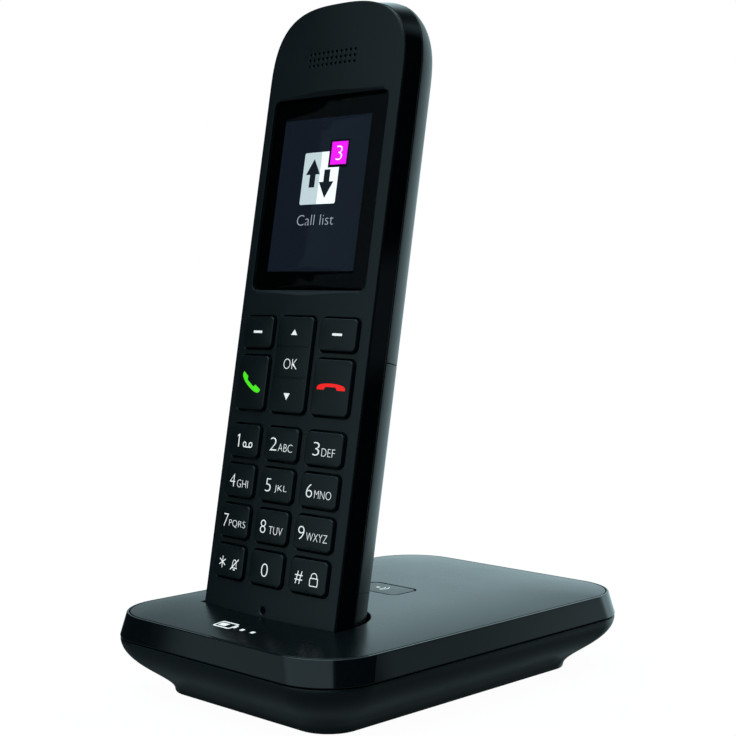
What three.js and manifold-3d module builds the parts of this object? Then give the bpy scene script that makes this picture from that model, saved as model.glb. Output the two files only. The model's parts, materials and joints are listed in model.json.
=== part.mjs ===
// Cordless phone standing in its charging base.
// Millimetres, +Z up. The origin is the centre of the base's footprint, on the surface it stands on.
// The front of the phone faces -Y, and +X is to the right of someone looking at the keypad.
import * as THREE from 'three';
import { mergeVertices } from 'three/addons/utils/BufferGeometryUtils.js';
import Module from 'manifold-3d';

const wasm = await Module();
wasm.setup();

// ---------------------------------------------------------------- driving dimensions

const GAP = 0.3; // clearance between neighbouring pieces
const WALL = 1.8; // usual moulded wall

// Base, overall. Each outline is half width, half length and corner radius.
const SEAM_OUTLINE = { x: 42.9, y: 59.8, r: 15.0 }; // widest line, under the gloss band
const TOP_OUTLINE = { x: 41.8, y: 58.9, r: 16.1 }; // edge of the top face
const SEAM_Z = 14.9;
const TOP_Z = 21.1;
const DOME_RISE = 2.3; // how much the top face crowns above its edge
const BASE_TUCK = 11.8; // how far the underside draws in from the seam to the foot
const BASE_TUCK_CONTROLS = [7.6, 4.5]; // heights of the two control points of the tucked S-curve
const CORNER_LOSS = 0.52; // corner radius lost for each mm of tuck
const SHELL_BOTTOM_Z = 0.1; // the feet stand this far out of the shell
const SHELL_EDGE = 0.4; // rounding of the lower shell's bottom edge
const FLOOR_Z = 2.4; // inside face of the base floor
const BAND_RIM = 0.5; // gloss rim seen from above
const BAND_LEDGE_Z = 19.1; // ledge that the top shell rests on

// Base, inside.
const BOARD = { x: 19.5, yLow: -26.0, yHigh: 43.4, zLow: 3.4, zHigh: 4.8 };
const FOOT = { x: 23.5, y: 41.0, r: 4.5, height: 1.8 };
const BASE_SCREWS = [[-17, -31], [17, -31], [-24, 30], [24, 30]];
const BASE_SCREW = { headR: 2.5, headLow: 1.0, headHigh: 2.3, shankR: 1.1, tipZ: 9.6 };
const LOWER_BOSS = { r: 4.0, topZ: 5.5 };
const UPPER_BOSS = { r: 3.2, bottomZ: 5.9 };
const PANEL_Y = 44.0; // inside face of the socket panel
const PANEL_THICK = 1.6;
const BAY = { xLow: -17.3, xHigh: 15.8, zLow: 5.5, zHigh: 13.4, wall: 1.4 };
const LINE_SOCKET = { x: -9.5, halfX: 6.2, length: 11.8, hollowHalfX: 4.85, hollowLow: 6.2, hollowHigh: 12.8 };
const LINE_HOLLOW_DEPTH = 10.5;
const DC_INLET = { x: 9.5, z: 9.4, halfX: 4.4, length: 12.0, boreR: 3.0, pinR: 1.0, boreDepth: 9.0 };
const SOCKET_TOP_Z = 13.8;

// Paging button in the top face.
const PAGE = { y: 3.4, x: 7.9, half: 4.7, r: 2.0, gap: 0.35, topZ: 23.42, stemR: 2.0, stemZ: 10.2 };

// Handset frame: x across, y into the phone from its face edge, z up along it.
const LEAN = THREE.MathUtils.degToRad(10);
const HANDSET_AT = new THREE.Vector3(0, -37.9, 30.0);
const HALF_WIDTH = 24.0;
const CROWN = 1.64; // how far the face bulges forward at its middle
const TOP_V = 148.9; // top of the face
const BOTTOM_V = -16.0;
const SHOULDER_V = 128.0; // where the straight sides turn into the rounded top
const TOP_ROUNDNESS = 3.0; // exponent of the rounded top
const BOTTOM_R = 7.0;
const TOP_SLANT = 2.5 / 8.0; // the top end rises as it goes back, over the first 8 mm
const TOP_SLANT_DEPTH = 8.0;
const FACE_RIM = 0.35; // thickness of the face at its edge
const PLATE_BACK = 1.6; // back of the front plate
const BAND_FRONT = 0.65;
const BAND_BACK = 6.64;
const BAND_WALL = 1.5;
const REAR_FRONT = BAND_BACK + GAP;
const REAR_DEPTH = 19.2;
const REAR_R = 14.0; // rounding of the rear along its sides and top
const REAR_BOTTOM_R = 5.0;
const REAR_WALL = 1.6;
const REAR_SIDE_WALL = 2.0;
const COVER_TOP_V = 58.1; // upper seam of the battery cover
const COVER_BOTTOM_V = 2.0;

// Display.
const LENS = { x: 20.65, low: 74.9, high: 125.0, r: 1.8, thick: 1.0, sunk: 0.05 };
const LCD = { x: 16.9, low: 77.8, high: 121.7, front: 0.6, back: 2.8 };

// Keypad. Rows are given by the top of their caps.
const KEY_HEIGHT = 8.25;
const KEY_ROWS = [39.6, 29.3, 18.9, 8.5];
const KEY_R = 1.3;
const MIDDLE_KEY_X = 5.93;
const SIDE_KEY_X = [8.6, 20.55];
const CALL_KEYS = { low: 43.6, high: 57.5 };
const SOFT_KEYS = { low: 59.6, high: 67.7 };
const NAV_KEY = { x: 6.3, low: 43.5, high: 67.8 };
const KEY_GAP = 0.4;
const KEY_FLANGE = { out: 0.8, front: 1.95, back: 2.45 };
const KEY_PROUD = { edge: 0.4, shoulder: 0.8, middle: 1.15, inset: 0.5 };
const MAT = { x: 21.2, low: -1.0, high: 69.0, front: 3.2, back: 4.0, holeR: 3.0 };
const NAV_PLUNGER = { r: 2.2, front: 2.75, back: 3.7 };

// Handset electronics.
const BOARD_FRONT = 4.3;
const BOARD_BACK = 5.3;
const EARPIECE = { v: [136.2, 134.65, 133.1], count: 11, pitch: 1.62, r: 0.4 };
const EAR_SPEAKER = { v: 135.0, r: 7.5, front: 1.95, back: 4.6 };
const MIC = { v: -6.1, holeR: 0.85, r: 2.0, front: 2.3, back: 3.9 };
const LOUDSPEAKER = { v: 100.0, r: 10.0, front: 12.4, back: 16.6 };
const GRILLE = { count: 5, pitch: 3.0, halfX: 6.0, halfV: 0.6 };
const CHASSIS = { x: 21.6, front: 5.9, back: 7.1 };
const CELL = { u: 5.4, r: 5.05, depth: 12.4, low: 8.0, high: 52.3 };
const TRAY = { inner: 11.0, outer: 12.4, low: 3.2, high: 56.5, end: 1.2, back: 15.5 };
const HANDSET_SCREW = { u: 16.5, v: -6.0, headR: 1.9, headBack: 10.4, headFront: 9.2, shankR: 0.85, tip: 2.6 };
const PAD = { u: 11.0, halfX: 3.0, front: 8.0, back: 13.0, low: -15.9, high: -15.1 };

// Cradle.
const POCKET = { x: 25.3, front: 0.45, back: 20.4, floorV: -16.6, r: 15.0 };
const CONTACT = { halfX: 1.0, halfDepth: 2.0, depth: 10.5, top: -16.3, bottom: -21.0 };

// ---------------------------------------------------------------- materials

function finish(color, roughness, metalness = 0) {
  return new THREE.MeshStandardMaterial({ color, roughness, metalness });
}

const FINISH = {
  satin: finish(0x171f22, 0.45),
  gloss: finish(0x07090b, 0.08),
  key: finish(0x141b1e, 0.4),
  glass: finish(0x05070a, 0.04),
  screen: finish(0x1a2029, 0.3),
  rubber: finish(0x101214, 0.85),
  board: finish(0x1d5a3a, 0.6),
  metal: finish(0xb8bcc0, 0.35, 1),
  gold: finish(0xd0a550, 0.3, 1),
  cell: finish(0x2f6f9f, 0.4),
  speaker: finish(0x22262a, 0.6),
  socket: finish(0x2a2d30, 0.5),
};

// ---------------------------------------------------------------- geometry helpers

function signedVolume(points, triangles) {
  const [a, b, c] = [new THREE.Vector3(), new THREE.Vector3(), new THREE.Vector3()];
  let volume = 0;
  for (let i = 0; i < triangles.length; i += 3) {
    a.copy(points[triangles[i]]);
    b.copy(points[triangles[i + 1]]);
    c.copy(points[triangles[i + 2]]);
    volume += a.dot(b.cross(c)) / 6;
  }
  return volume;
}

function geometryFrom(points, triangles) {
  if (signedVolume(points, triangles) < 0) {
    triangles.reverse();
  }
  const geometry = new THREE.BufferGeometry();
  geometry.setAttribute('position', new THREE.Float32BufferAttribute(points.flatMap((p) => p.toArray()), 3));
  geometry.setIndex(triangles);
  return geometry;
}

// A skin over a list of rings with equal point counts: closed by a fan at each end,
// or with the last ring joined to the first when the rings run round a frame.
function loft(rings, { loop = false } = {}) {
  const count = rings[0].length;
  const points = rings.flat();
  const triangles = [];
  const bands = loop ? rings.length : rings.length - 1;
  for (let i = 0; i < bands; i += 1) {
    const here = i * count;
    const there = ((i + 1) % rings.length) * count;
    for (let j = 0; j < count; j += 1) {
      const next = (j + 1) % count;
      triangles.push(here + j, here + next, there + next, here + j, there + next, there + j);
    }
  }
  if (!loop) {
    const last = (rings.length - 1) * count;
    const [first, end] = [points.length, points.length + 1];
    points.push(middleOf(rings[0]), middleOf(rings.at(-1)));
    for (let j = 0; j < count; j += 1) {
      const next = (j + 1) % count;
      triangles.push(first, next, j, end, last + j, last + next);
    }
  }
  return geometryFrom(points, triangles);
}

function middleOf(ring) {
  const sum = ring.reduce((total, p) => total.add(p), new THREE.Vector3());
  return sum.divideScalar(ring.length);
}

function toSolid(geometry) {
  const plain = geometry.clone();
  plain.deleteAttribute('normal');
  plain.deleteAttribute('uv');
  const merged = mergeVertices(plain, 1e-5);
  return new wasm.Manifold(new wasm.Mesh({
    numProp: 3,
    vertProperties: Float32Array.from(merged.attributes.position.array),
    triVerts: Uint32Array.from(merged.index.array),
  }));
}

function toGeometry(solid) {
  const mesh = solid.getMesh();
  const geometry = new THREE.BufferGeometry();
  geometry.setAttribute('position', new THREE.BufferAttribute(mesh.vertProperties, 3));
  geometry.setIndex(new THREE.BufferAttribute(mesh.triVerts, 1));
  return geometry;
}

function join(...geometries) {
  return toGeometry(geometries.map(toSolid).reduce((a, b) => a.add(b)));
}

function cut(geometry, ...tools) {
  return toGeometry(tools.map(toSolid).reduce((a, b) => a.subtract(b), toSolid(geometry)));
}

function common(a, b) {
  return toGeometry(toSolid(a).intersect(toSolid(b)));
}

function box(xLow, xHigh, yLow, yHigh, zLow, zHigh) {
  const geometry = new THREE.BoxGeometry(xHigh - xLow, yHigh - yLow, zHigh - zLow);
  return geometry.translate((xLow + xHigh) / 2, (yLow + yHigh) / 2, (zLow + zHigh) / 2);
}

// Cylinder along Z from low to high.
function upright(r, x, y, low, high, segments = 20) {
  const geometry = new THREE.CylinderGeometry(r, r, high - low, segments);
  return geometry.rotateX(Math.PI / 2).translate(x, y, (low + high) / 2);
}

// Cylinder along Y from low to high.
function across(r, x, z, low, high, segments = 20) {
  const geometry = new THREE.CylinderGeometry(r, r, high - low, segments);
  return geometry.translate(x, (low + high) / 2, z);
}

// Rounded rectangle, counterclockwise, as [a, b] pairs.
function roundedRect(halfA, halfB, r, steps = 6) {
  const pairs = [];
  const centres = [[halfA - r, halfB - r], [r - halfA, halfB - r], [r - halfA, r - halfB], [halfA - r, r - halfB]];
  centres.forEach(([ca, cb], quarter) => {
    for (let i = 0; i <= steps; i += 1) {
      const angle = (quarter + i / steps) * (Math.PI / 2);
      pairs.push([ca + r * Math.cos(angle), cb + r * Math.sin(angle)]);
    }
  });
  return pairs;
}

// ---------------------------------------------------------------- base shapes

const BASE_STEPS = 5;

// Level ring of the base at height z, drawn in by inset from an outline.
function baseRing(outline, inset, z, cornerLoss = 1) {
  const r = Math.max(outline.r - inset * cornerLoss, 1);
  const pairs = roundedRect(outline.x - inset, outline.y - inset, r, BASE_STEPS);
  return pairs.map(([x, y]) => new THREE.Vector3(x, y, z));
}

// Top face of the base: outlines shrink towards the middle as the dome rises.
function domeRing(scale, drop, inset) {
  const z = TOP_Z + DOME_RISE * (1 - scale ** 4) - drop;
  return baseRing(TOP_OUTLINE, inset, z).map((p) => new THREE.Vector3(p.x * scale, p.y * scale, z));
}

const tuckCurve = new THREE.CubicBezierCurve(
  new THREE.Vector2(0.1, SEAM_Z - GAP),
  new THREE.Vector2(0.1, BASE_TUCK_CONTROLS[0]),
  new THREE.Vector2(BASE_TUCK, BASE_TUCK_CONTROLS[1]),
  new THREE.Vector2(BASE_TUCK, SHELL_BOTTOM_Z + SHELL_EDGE),
);

function tuckedRing(inset, z) {
  return baseRing(SEAM_OUTLINE, inset, z, CORNER_LOSS);
}

// A point of the handset frame in the base's frame.
function handsetPoint(u, depth, v) {
  return new THREE.Vector3(u, depth, v).applyAxisAngle(new THREE.Vector3(1, 0, 0), -LEAN).add(HANDSET_AT);
}

function faceDepth(u) {
  return -CROWN * (1 - (u / HALF_WIDTH) ** 2);
}

// Plan of the cradle pocket in the handset frame: crowned front, rounded rear corners.
function pocketPlan(grow) {
  const halfX = POCKET.x + grow;
  const back = POCKET.back + grow;
  const r = POCKET.r + grow;
  const pairs = [];
  for (let i = 0; i <= 8; i += 1) {
    const u = -halfX + (2 * halfX * i) / 8;
    pairs.push([u, faceDepth(Math.min(Math.abs(u), HALF_WIDTH)) - POCKET.front - grow]);
  }
  for (const [side, start] of [[1, 0], [-1, 1]]) {
    for (let i = 0; i <= 5; i += 1) {
      const angle = (start + i / 5) * (Math.PI / 2);
      pairs.push([side * (halfX - r) + r * Math.cos(angle), back - r + r * Math.sin(angle)]);
    }
  }
  return pairs;
}

function pocketSolid(grow, vLow, vHigh) {
  const plan = pocketPlan(grow);
  return loft([vLow, vHigh].map((v) => plan.map(([u, depth]) => handsetPoint(u, depth, v))));
}

// ---------------------------------------------------------------- base pieces

function baseTopShell() {
  const inset = BAND_RIM + GAP;
  const upper = [1, 0.97, 0.9, 0.78, 0.6, 0.35];
  const lower = [0.35, 0.7, 1];
  const skin = loft([
    ...lower.map((scale) => domeRing(scale, WALL, inset)),
    ...upper.map((scale) => domeRing(scale, 0, inset)),
  ]);
  const under = loft([
    baseRing(TOP_OUTLINE, inset, UPPER_BOSS.bottomZ),
    ...upper.map((scale) => domeRing(scale, 0.5, inset)),
  ]);
  const cup = common(pocketSolid(WALL, POCKET.floorV - WALL, 10), under);
  const bosses = BASE_SCREWS.map(([x, y]) => {
    const top = y < 0 ? 11 : TOP_Z;
    return upright(UPPER_BOSS.r, x, y, UPPER_BOSS.bottomZ, top);
  });
  const pilots = BASE_SCREWS.map(([x, y]) => {
    return upright(BASE_SCREW.shankR + GAP, x, y, UPPER_BOSS.bottomZ - 1, BASE_SCREW.tipZ + GAP);
  });
  const slots = [-1, 1].map((side) => cradleSlot(side * PAD.u));
  return cut(
    join(skin, cup, ...bosses),
    pocketSolid(0, POCKET.floorV, 30),
    pageOutlineSolid(PAGE.gap, 18, 30),
    ...pilots,
    ...slots,
  );
}

function cradleSlot(u) {
  const halfX = CONTACT.halfX + GAP;
  const halfDepth = CONTACT.halfDepth + GAP;
  return box(
    u - halfX, u + halfX,
    CONTACT.depth - halfDepth, CONTACT.depth + halfDepth,
    POCKET.floorV - 2 * WALL, POCKET.floorV + 1,
  ).rotateX(-LEAN).translate(...HANDSET_AT.toArray());
}

function baseTrimBand() {
  return loft([
    baseRing(SEAM_OUTLINE, 0, SEAM_Z),
    baseRing(TOP_OUTLINE, 0, TOP_Z),
    baseRing(TOP_OUTLINE, BAND_RIM, TOP_Z),
    baseRing(TOP_OUTLINE, BAND_RIM, BAND_LEDGE_Z),
    baseRing(SEAM_OUTLINE, 3.0, BAND_LEDGE_Z),
    baseRing(SEAM_OUTLINE, 2.4, SEAM_Z),
  ], { loop: true });
}

function baseLowerShell() {
  const outside = tuckCurve.getPoints(9).map((p) => tuckedRing(p.x, p.y)).reverse();
  const inside = tuckCurve.getPoints(6)
    .filter((p) => p.y > FLOOR_Z)
    .map((p) => tuckedRing(p.x + 2.2, p.y));
  const foot = tuckedRing(BASE_TUCK + SHELL_EDGE, SHELL_BOTTOM_Z);
  const lip = [
    tuckedRing(2.8, SEAM_Z - GAP),
    tuckedRing(2.8, SEAM_Z + 1.2),
    tuckedRing(4.0, SEAM_Z + 1.2),
    tuckedRing(4.0, SEAM_Z - 1.5),
  ];
  const floor = tuckedRing(BASE_TUCK + 2.6, FLOOR_Z);
  const shell = loft([foot, ...outside, ...lip, ...inside.slice(1), floor]);
  const solid = loft([foot, ...outside]);
  const bayBlock = common(solid, box(
    BAY.xLow - BAY.wall, BAY.xHigh + BAY.wall,
    PANEL_Y, SEAM_OUTLINE.y + 5,
    BAY.zLow - BAY.wall, SEAM_Z,
  ));
  const panel = box(
    BAY.xLow - BAY.wall, BAY.xHigh + BAY.wall,
    PANEL_Y, PANEL_Y + PANEL_THICK,
    FLOOR_Z - 0.5, SEAM_Z - GAP,
  );
  const bosses = BASE_SCREWS.map(([x, y]) => upright(LOWER_BOSS.r, x, y, FLOOR_Z - 1, LOWER_BOSS.topZ));
  const bay = box(BAY.xLow, BAY.xHigh, PANEL_Y + PANEL_THICK, SEAM_OUTLINE.y + 10, BAY.zLow, BAY.zHigh);
  const lineHole = box(
    LINE_SOCKET.x - LINE_SOCKET.hollowHalfX - GAP, LINE_SOCKET.x + LINE_SOCKET.hollowHalfX + GAP,
    PANEL_Y - 1, PANEL_Y + 4,
    LINE_SOCKET.hollowLow - GAP, LINE_SOCKET.hollowHigh + GAP,
  );
  const dcHole = across(DC_INLET.boreR + GAP, DC_INLET.x, DC_INLET.z, PANEL_Y - 1, PANEL_Y + 4);
  const screwHoles = BASE_SCREWS.flatMap(([x, y]) => [
    upright(BASE_SCREW.shankR + GAP, x, y, -1, LOWER_BOSS.topZ + 1),
    upright(BASE_SCREW.headR + GAP, x, y, -1, BASE_SCREW.headHigh + GAP),
  ]);
  const footHoles = footPlaces().map(([, x, y]) => upright(FOOT.r + GAP, x, y, -1, FOOT.height - 0.1));
  return cut(join(shell, bayBlock, panel, ...bosses), bay, lineHole, dcHole, ...screwHoles, ...footHoles);
}

function footPlaces() {
  return [
    ['front_left', -FOOT.x, -FOOT.y],
    ['front_right', FOOT.x, -FOOT.y],
    ['rear_left', -FOOT.x, FOOT.y],
    ['rear_right', FOOT.x, FOOT.y],
  ];
}

// Foot: a flat rubber disc with a small chamfer where it meets the surface.
function footPad() {
  const profile = [[0, 0], [FOOT.r - 0.4, 0], [FOOT.r, 0.4], [FOOT.r, FOOT.height - 0.4], [0, FOOT.height - 0.4]];
  const points = profile.map(([r, z]) => new THREE.Vector2(r, z));
  return new THREE.LatheGeometry(points, 24).rotateX(Math.PI / 2);
}

function screw(headR, headLow, headHigh, shankR, tip) {
  const points = [
    [0, headLow],
    [headR, headLow],
    [headR, headHigh],
    [shankR, headHigh],
    [shankR, tip - shankR],
    [0, tip],
  ].map(([r, z]) => new THREE.Vector2(r, z));
  return new THREE.LatheGeometry(points, 16).rotateX(Math.PI / 2);
}

function baseBoard() {
  const plate = box(-BOARD.x, BOARD.x, BOARD.yLow, BOARD.yHigh, BOARD.zLow, BOARD.zHigh);
  return cut(plate, box(-6, 6, BOARD.yLow - 1, BOARD.yLow + 4, 0, 10));
}

function radioShield() {
  const outer = box(-12, 12, 9, 29, BOARD.zHigh + GAP, BOARD.zHigh + 2.9);
  return cut(outer, box(-11.6, 11.6, 9.4, 28.6, BOARD.zHigh - 1, BOARD.zHigh + 2.5));
}

// Printed-metal antenna standing on the board's left edge: a long arm on two legs.
function baseAntenna() {
  const low = BOARD.zHigh + GAP;
  const strip = box(-17.6, -17.0, -14, 26, low, low + 8);
  return cut(strip, box(-19, -16, -11, 8, low - 1, low + 5.5), box(-19, -16, 11, 27, low - 1, low + 5.5));
}

function pageSwitch() {
  const low = BOARD.zHigh + GAP;
  const body = box(-3, 3, PAGE.y - 3, PAGE.y + 3, low, low + 3.4);
  return join(body, upright(1.75, 0, PAGE.y, low + 3, low + 4.3, 16));
}

function lineSocket() {
  const low = BOARD.zHigh + GAP;
  const face = PANEL_Y - GAP;
  const body = box(
    LINE_SOCKET.x - LINE_SOCKET.halfX, LINE_SOCKET.x + LINE_SOCKET.halfX,
    face - LINE_SOCKET.length, face, low, SOCKET_TOP_Z,
  );
  const hollow = box(
    LINE_SOCKET.x - LINE_SOCKET.hollowHalfX, LINE_SOCKET.x + LINE_SOCKET.hollowHalfX,
    face - LINE_HOLLOW_DEPTH, face + 1, LINE_SOCKET.hollowLow, LINE_SOCKET.hollowHigh,
  );
  return cut(body, hollow);
}

function dcInlet() {
  const low = BOARD.zHigh + GAP;
  const face = PANEL_Y - GAP;
  const body = box(
    DC_INLET.x - DC_INLET.halfX, DC_INLET.x + DC_INLET.halfX,
    face - DC_INLET.length, face, low, SOCKET_TOP_Z,
  );
  const bore = across(DC_INLET.boreR, DC_INLET.x, DC_INLET.z, face - DC_INLET.boreDepth, face + 1);
  const pin = across(DC_INLET.pinR, DC_INLET.x, DC_INLET.z, face - DC_INLET.boreDepth - 1, face - 1, 12);
  return join(cut(body, bore), pin);
}

function pageRing(grow, z, centreScale = 1) {
  const pairs = roundedRect(PAGE.x + grow, PAGE.half + grow, PAGE.r + grow, 4);
  return pairs.map(([x, y]) => new THREE.Vector3(x * centreScale, y * centreScale + PAGE.y, z));
}

function pageOutlineSolid(grow, low, high) {
  return loft([pageRing(grow, low), pageRing(grow, high)]);
}

function pageButton() {
  const stem = roundedRect(PAGE.stemR, PAGE.stemR, PAGE.stemR - 0.1, 4);
  const stemRing = (z) => stem.map(([x, y]) => new THREE.Vector3(x, y + PAGE.y, z));
  return loft([
    stemRing(PAGE.stemZ),
    stemRing(20.8),
    pageRing(0.8, 20.8),
    pageRing(0.8, 21.25),
    pageRing(0, 21.25),
    pageRing(0, PAGE.topZ - 0.25),
    pageRing(-0.35, PAGE.topZ),
  ]);
}

// Sprung blade that the handset's charging pad presses on: flat sides, round top.
function cradleContact() {
  const { halfX, halfDepth, top, bottom } = CONTACT;
  const shape = new THREE.Shape();
  shape.moveTo(-halfDepth, bottom);
  shape.lineTo(halfDepth, bottom);
  shape.lineTo(halfDepth, top - 1);
  shape.quadraticCurveTo(halfDepth, top, 0, top);
  shape.quadraticCurveTo(-halfDepth, top, -halfDepth, top - 1);
  shape.closePath();
  const geometry = new THREE.ExtrudeGeometry(shape, { depth: 2 * halfX, bevelEnabled: false, curveSegments: 5 });
  // Shape x runs along the depth, shape y up the handset, and the thickness across it.
  const turn = new THREE.Matrix4().set(
    0, 0, 1, -halfX,
    1, 0, 0, CONTACT.depth,
    0, 1, 0, 0,
    0, 0, 0, 1,
  );
  return geometry.applyMatrix4(turn);
}

// ---------------------------------------------------------------- handset shapes

const TOP_SEGMENTS = 20;
const BOTTOM_STEPS = 3;

// Outline of the handset seen from the front, as [u, v] pairs, counterclockwise.
function handsetOutline(halfWidth, top, bottom, cornerR) {
  const pairs = [];
  for (const [side, quarter] of [[-1, 2], [1, 3]]) {
    for (let i = 0; i <= BOTTOM_STEPS; i += 1) {
      const angle = (quarter + i / BOTTOM_STEPS) * (Math.PI / 2);
      pairs.push([
        side * (halfWidth - cornerR) + cornerR * Math.cos(angle),
        bottom + cornerR + cornerR * Math.sin(angle),
      ]);
    }
  }
  for (let i = 0; i <= TOP_SEGMENTS; i += 1) {
    const angle = (Math.PI * i) / TOP_SEGMENTS;
    const c = Math.cos(angle);
    const u = halfWidth * Math.sign(c) * Math.abs(c) ** (2 / TOP_ROUNDNESS);
    pairs.push([u, SHOULDER_V + (top - SHOULDER_V) * Math.sin(angle) ** (2 / TOP_ROUNDNESS)]);
  }
  return pairs;
}

function topAt(depth) {
  return TOP_V + TOP_SLANT * Math.min(Math.max(depth, 0), TOP_SLANT_DEPTH);
}

// Ring of the upright-sided part of the handset at one depth.
function bandRing(inset, depth) {
  const pairs = handsetOutline(HALF_WIDTH - inset, topAt(depth) - inset, BOTTOM_V + inset, BOTTOM_R - inset);
  return pairs.map(([u, v]) => new THREE.Vector3(u, depth, v));
}

// How much a quarter round of radius r, ending at full depth, has drawn in at this depth.
function roundInset(r, fullDepth, depth) {
  const along = depth - (fullDepth - r);
  return along <= 0 ? 0 : r - Math.sqrt(Math.max(r * r - along * along, 0));
}

// Rear body: rings from the band backwards, rounding in to the flat of the back.
function rearBody(sideWall, backWall, from) {
  const fullDepth = REAR_DEPTH - backWall;
  const r = REAR_R - backWall;
  const steps = 6;
  const start = Math.asin((REAR_FRONT - (fullDepth - r)) / r);
  const rings = [];
  for (let i = 0; i <= steps; i += 1) {
    const angle = start + ((Math.PI / 2 - start) * i) / steps;
    const depth = fullDepth - r + r * Math.sin(angle);
    const inset = sideWall + roundInset(r, fullDepth, depth);
    const insetBottom = sideWall + roundInset(REAR_BOTTOM_R - backWall, fullDepth, depth);
    const cornerR = Math.max(BOTTOM_R - inset * 0.45, 1.5);
    const pairs = handsetOutline(HALF_WIDTH - inset, topAt(depth) - inset, BOTTOM_V + insetBottom, cornerR);
    rings.push(pairs.map(([u, v]) => new THREE.Vector3(u, depth, v)));
  }
  rings[0].forEach((p) => p.setY(from));
  return loft(rings);
}

// Slab whose front and back are given as depths across the width.
function slab(halfX, frontAt, backAt, vLow, vHigh) {
  const steps = 12;
  const stations = Array.from({ length: steps + 1 }, (_, i) => -halfX + (2 * halfX * i) / steps);
  const section = [
    ...stations.map((u) => [u, frontAt(u)]),
    ...[...stations].reverse().map((u) => [u, backAt(u)]),
  ];
  return loft([vLow, vHigh].map((v) => section.map(([u, depth]) => new THREE.Vector3(u, depth, v))));
}

// Upright prism with a rounded-rectangle outline on the face, between two depths.
function facePrism({ uLow, uHigh, low, high, r }, grow, front, back) {
  const pairs = roundedRect((uHigh - uLow) / 2 + grow, (high - low) / 2 + grow, r + grow, 2);
  const [cu, cv] = [(uLow + uHigh) / 2, (low + high) / 2];
  return loft([front, back].map((depth) => pairs.map(([u, v]) => new THREE.Vector3(u + cu, depth, v + cv))));
}

// ---------------------------------------------------------------- keys

function keyPlaces() {
  const columns = [
    [-SIDE_KEY_X[1], -SIDE_KEY_X[0]],
    [-MIDDLE_KEY_X, MIDDLE_KEY_X],
    SIDE_KEY_X,
  ];
  const names = [['1', '2', '3'], ['4', '5', '6'], ['7', '8', '9'], ['star', '0', 'hash']];
  const places = [];
  names.forEach((row, rowIndex) => {
    row.forEach((name, column) => {
      const high = KEY_ROWS[rowIndex];
      const [uLow, uHigh] = columns[column];
      places.push({ name: `key_${name}`, uLow, uHigh, low: high - KEY_HEIGHT, high, r: KEY_R });
    });
  });
  for (const [side, column] of [['left', 0], ['right', 2]]) {
    const [uLow, uHigh] = columns[column];
    places.push({ name: `soft_key_${side}`, uLow, uHigh, ...SOFT_KEYS, r: KEY_R });
  }
  for (const [name, column] of [['talk_key', 0], ['end_key', 2]]) {
    const [uLow, uHigh] = columns[column];
    places.push({ name, uLow, uHigh, ...CALL_KEYS, r: KEY_R });
  }
  return places;
}

const KEYS = keyPlaces();
const NAV = { uLow: -NAV_KEY.x, uHigh: NAV_KEY.x, low: NAV_KEY.low, high: NAV_KEY.high, r: KEY_R };

// Key cap with a retaining flange behind the plate and a softly crowned top.
function keyCap(place) {
  const halfX = (place.uHigh - place.uLow) / 2;
  const halfV = (place.high - place.low) / 2;
  const [cu, cv] = [(place.uLow + place.uHigh) / 2, (place.low + place.high) / 2];
  const ring = (grow, depthAt) => {
    const pairs = roundedRect(halfX + grow, halfV + grow, place.r + grow, 2);
    return pairs.map(([u, v]) => new THREE.Vector3(u + cu, depthAt(u + cu), v + cv));
  };
  return loft([
    ring(KEY_FLANGE.out, () => KEY_FLANGE.back),
    ring(KEY_FLANGE.out, () => KEY_FLANGE.front),
    ring(0, () => KEY_FLANGE.front),
    ring(0, (u) => faceDepth(u) - KEY_PROUD.edge),
    ring(-KEY_PROUD.inset, (u) => faceDepth(u) - KEY_PROUD.shoulder),
    ring(-2.5 * KEY_PROUD.inset, (u) => faceDepth(u) - KEY_PROUD.middle),
  ]);
}

// ---------------------------------------------------------------- handset pieces

function frontShell() {
  const rim = loft([-4, FACE_RIM].map((depth) => bandRing(0, 0).map((p) => p.clone().setY(depth))));
  const face = common(rim, slab(HALF_WIDTH + 2, faceDepth, () => FACE_RIM, BOTTOM_V - 5, TOP_V + 5));
  const inner = loft([0, PLATE_BACK].map((depth) => bandRing(WALL, 0).map((p) => p.clone().setY(depth))));
  const bosses = [-1, 1].map((side) => {
    return across(2.2, side * HANDSET_SCREW.u, HANDSET_SCREW.v, PLATE_BACK - 0.5, BOARD_BACK);
  });
  const pilots = [-1, 1].map((side) => {
    return across(
      HANDSET_SCREW.shankR + GAP, side * HANDSET_SCREW.u, HANDSET_SCREW.v, HANDSET_SCREW.tip - GAP, 8, 12,
    );
  });
  const lensPlace = { uLow: -LENS.x, uHigh: LENS.x, low: LENS.low, high: LENS.high, r: LENS.r };
  const lensRecess = common(
    facePrism(lensPlace, GAP, -4, PLATE_BACK),
    slab(HALF_WIDTH, () => -4, (u) => faceDepth(u) + LENS.sunk + LENS.thick + GAP, 60, 140),
  );
  const lcdHole = box(-LCD.x - GAP, LCD.x + GAP, -3, 5, LCD.low - GAP, LCD.high + GAP);
  const keyHoles = [...KEYS, NAV].map((place) => facePrism(place, KEY_GAP, -4, 4));
  const earHoles = EARPIECE.v.flatMap((v) => {
    return Array.from({ length: EARPIECE.count }, (_, i) => {
      const u = (i - (EARPIECE.count - 1) / 2) * EARPIECE.pitch;
      return across(EARPIECE.r, u, v, -4, 4, 6);
    });
  });
  const micHole = across(MIC.holeR, 0, MIC.v, -4, 4, 10);
  return cut(join(face, inner, ...bosses), lensRecess, lcdHole, micHole, ...pilots, ...keyHoles, ...earHoles);
}

function trimBand() {
  return loft([
    bandRing(0, BAND_FRONT),
    bandRing(0, BAND_BACK),
    bandRing(BAND_WALL, BAND_BACK),
    bandRing(BAND_WALL, BAND_FRONT),
  ], { loop: true });
}

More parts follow.
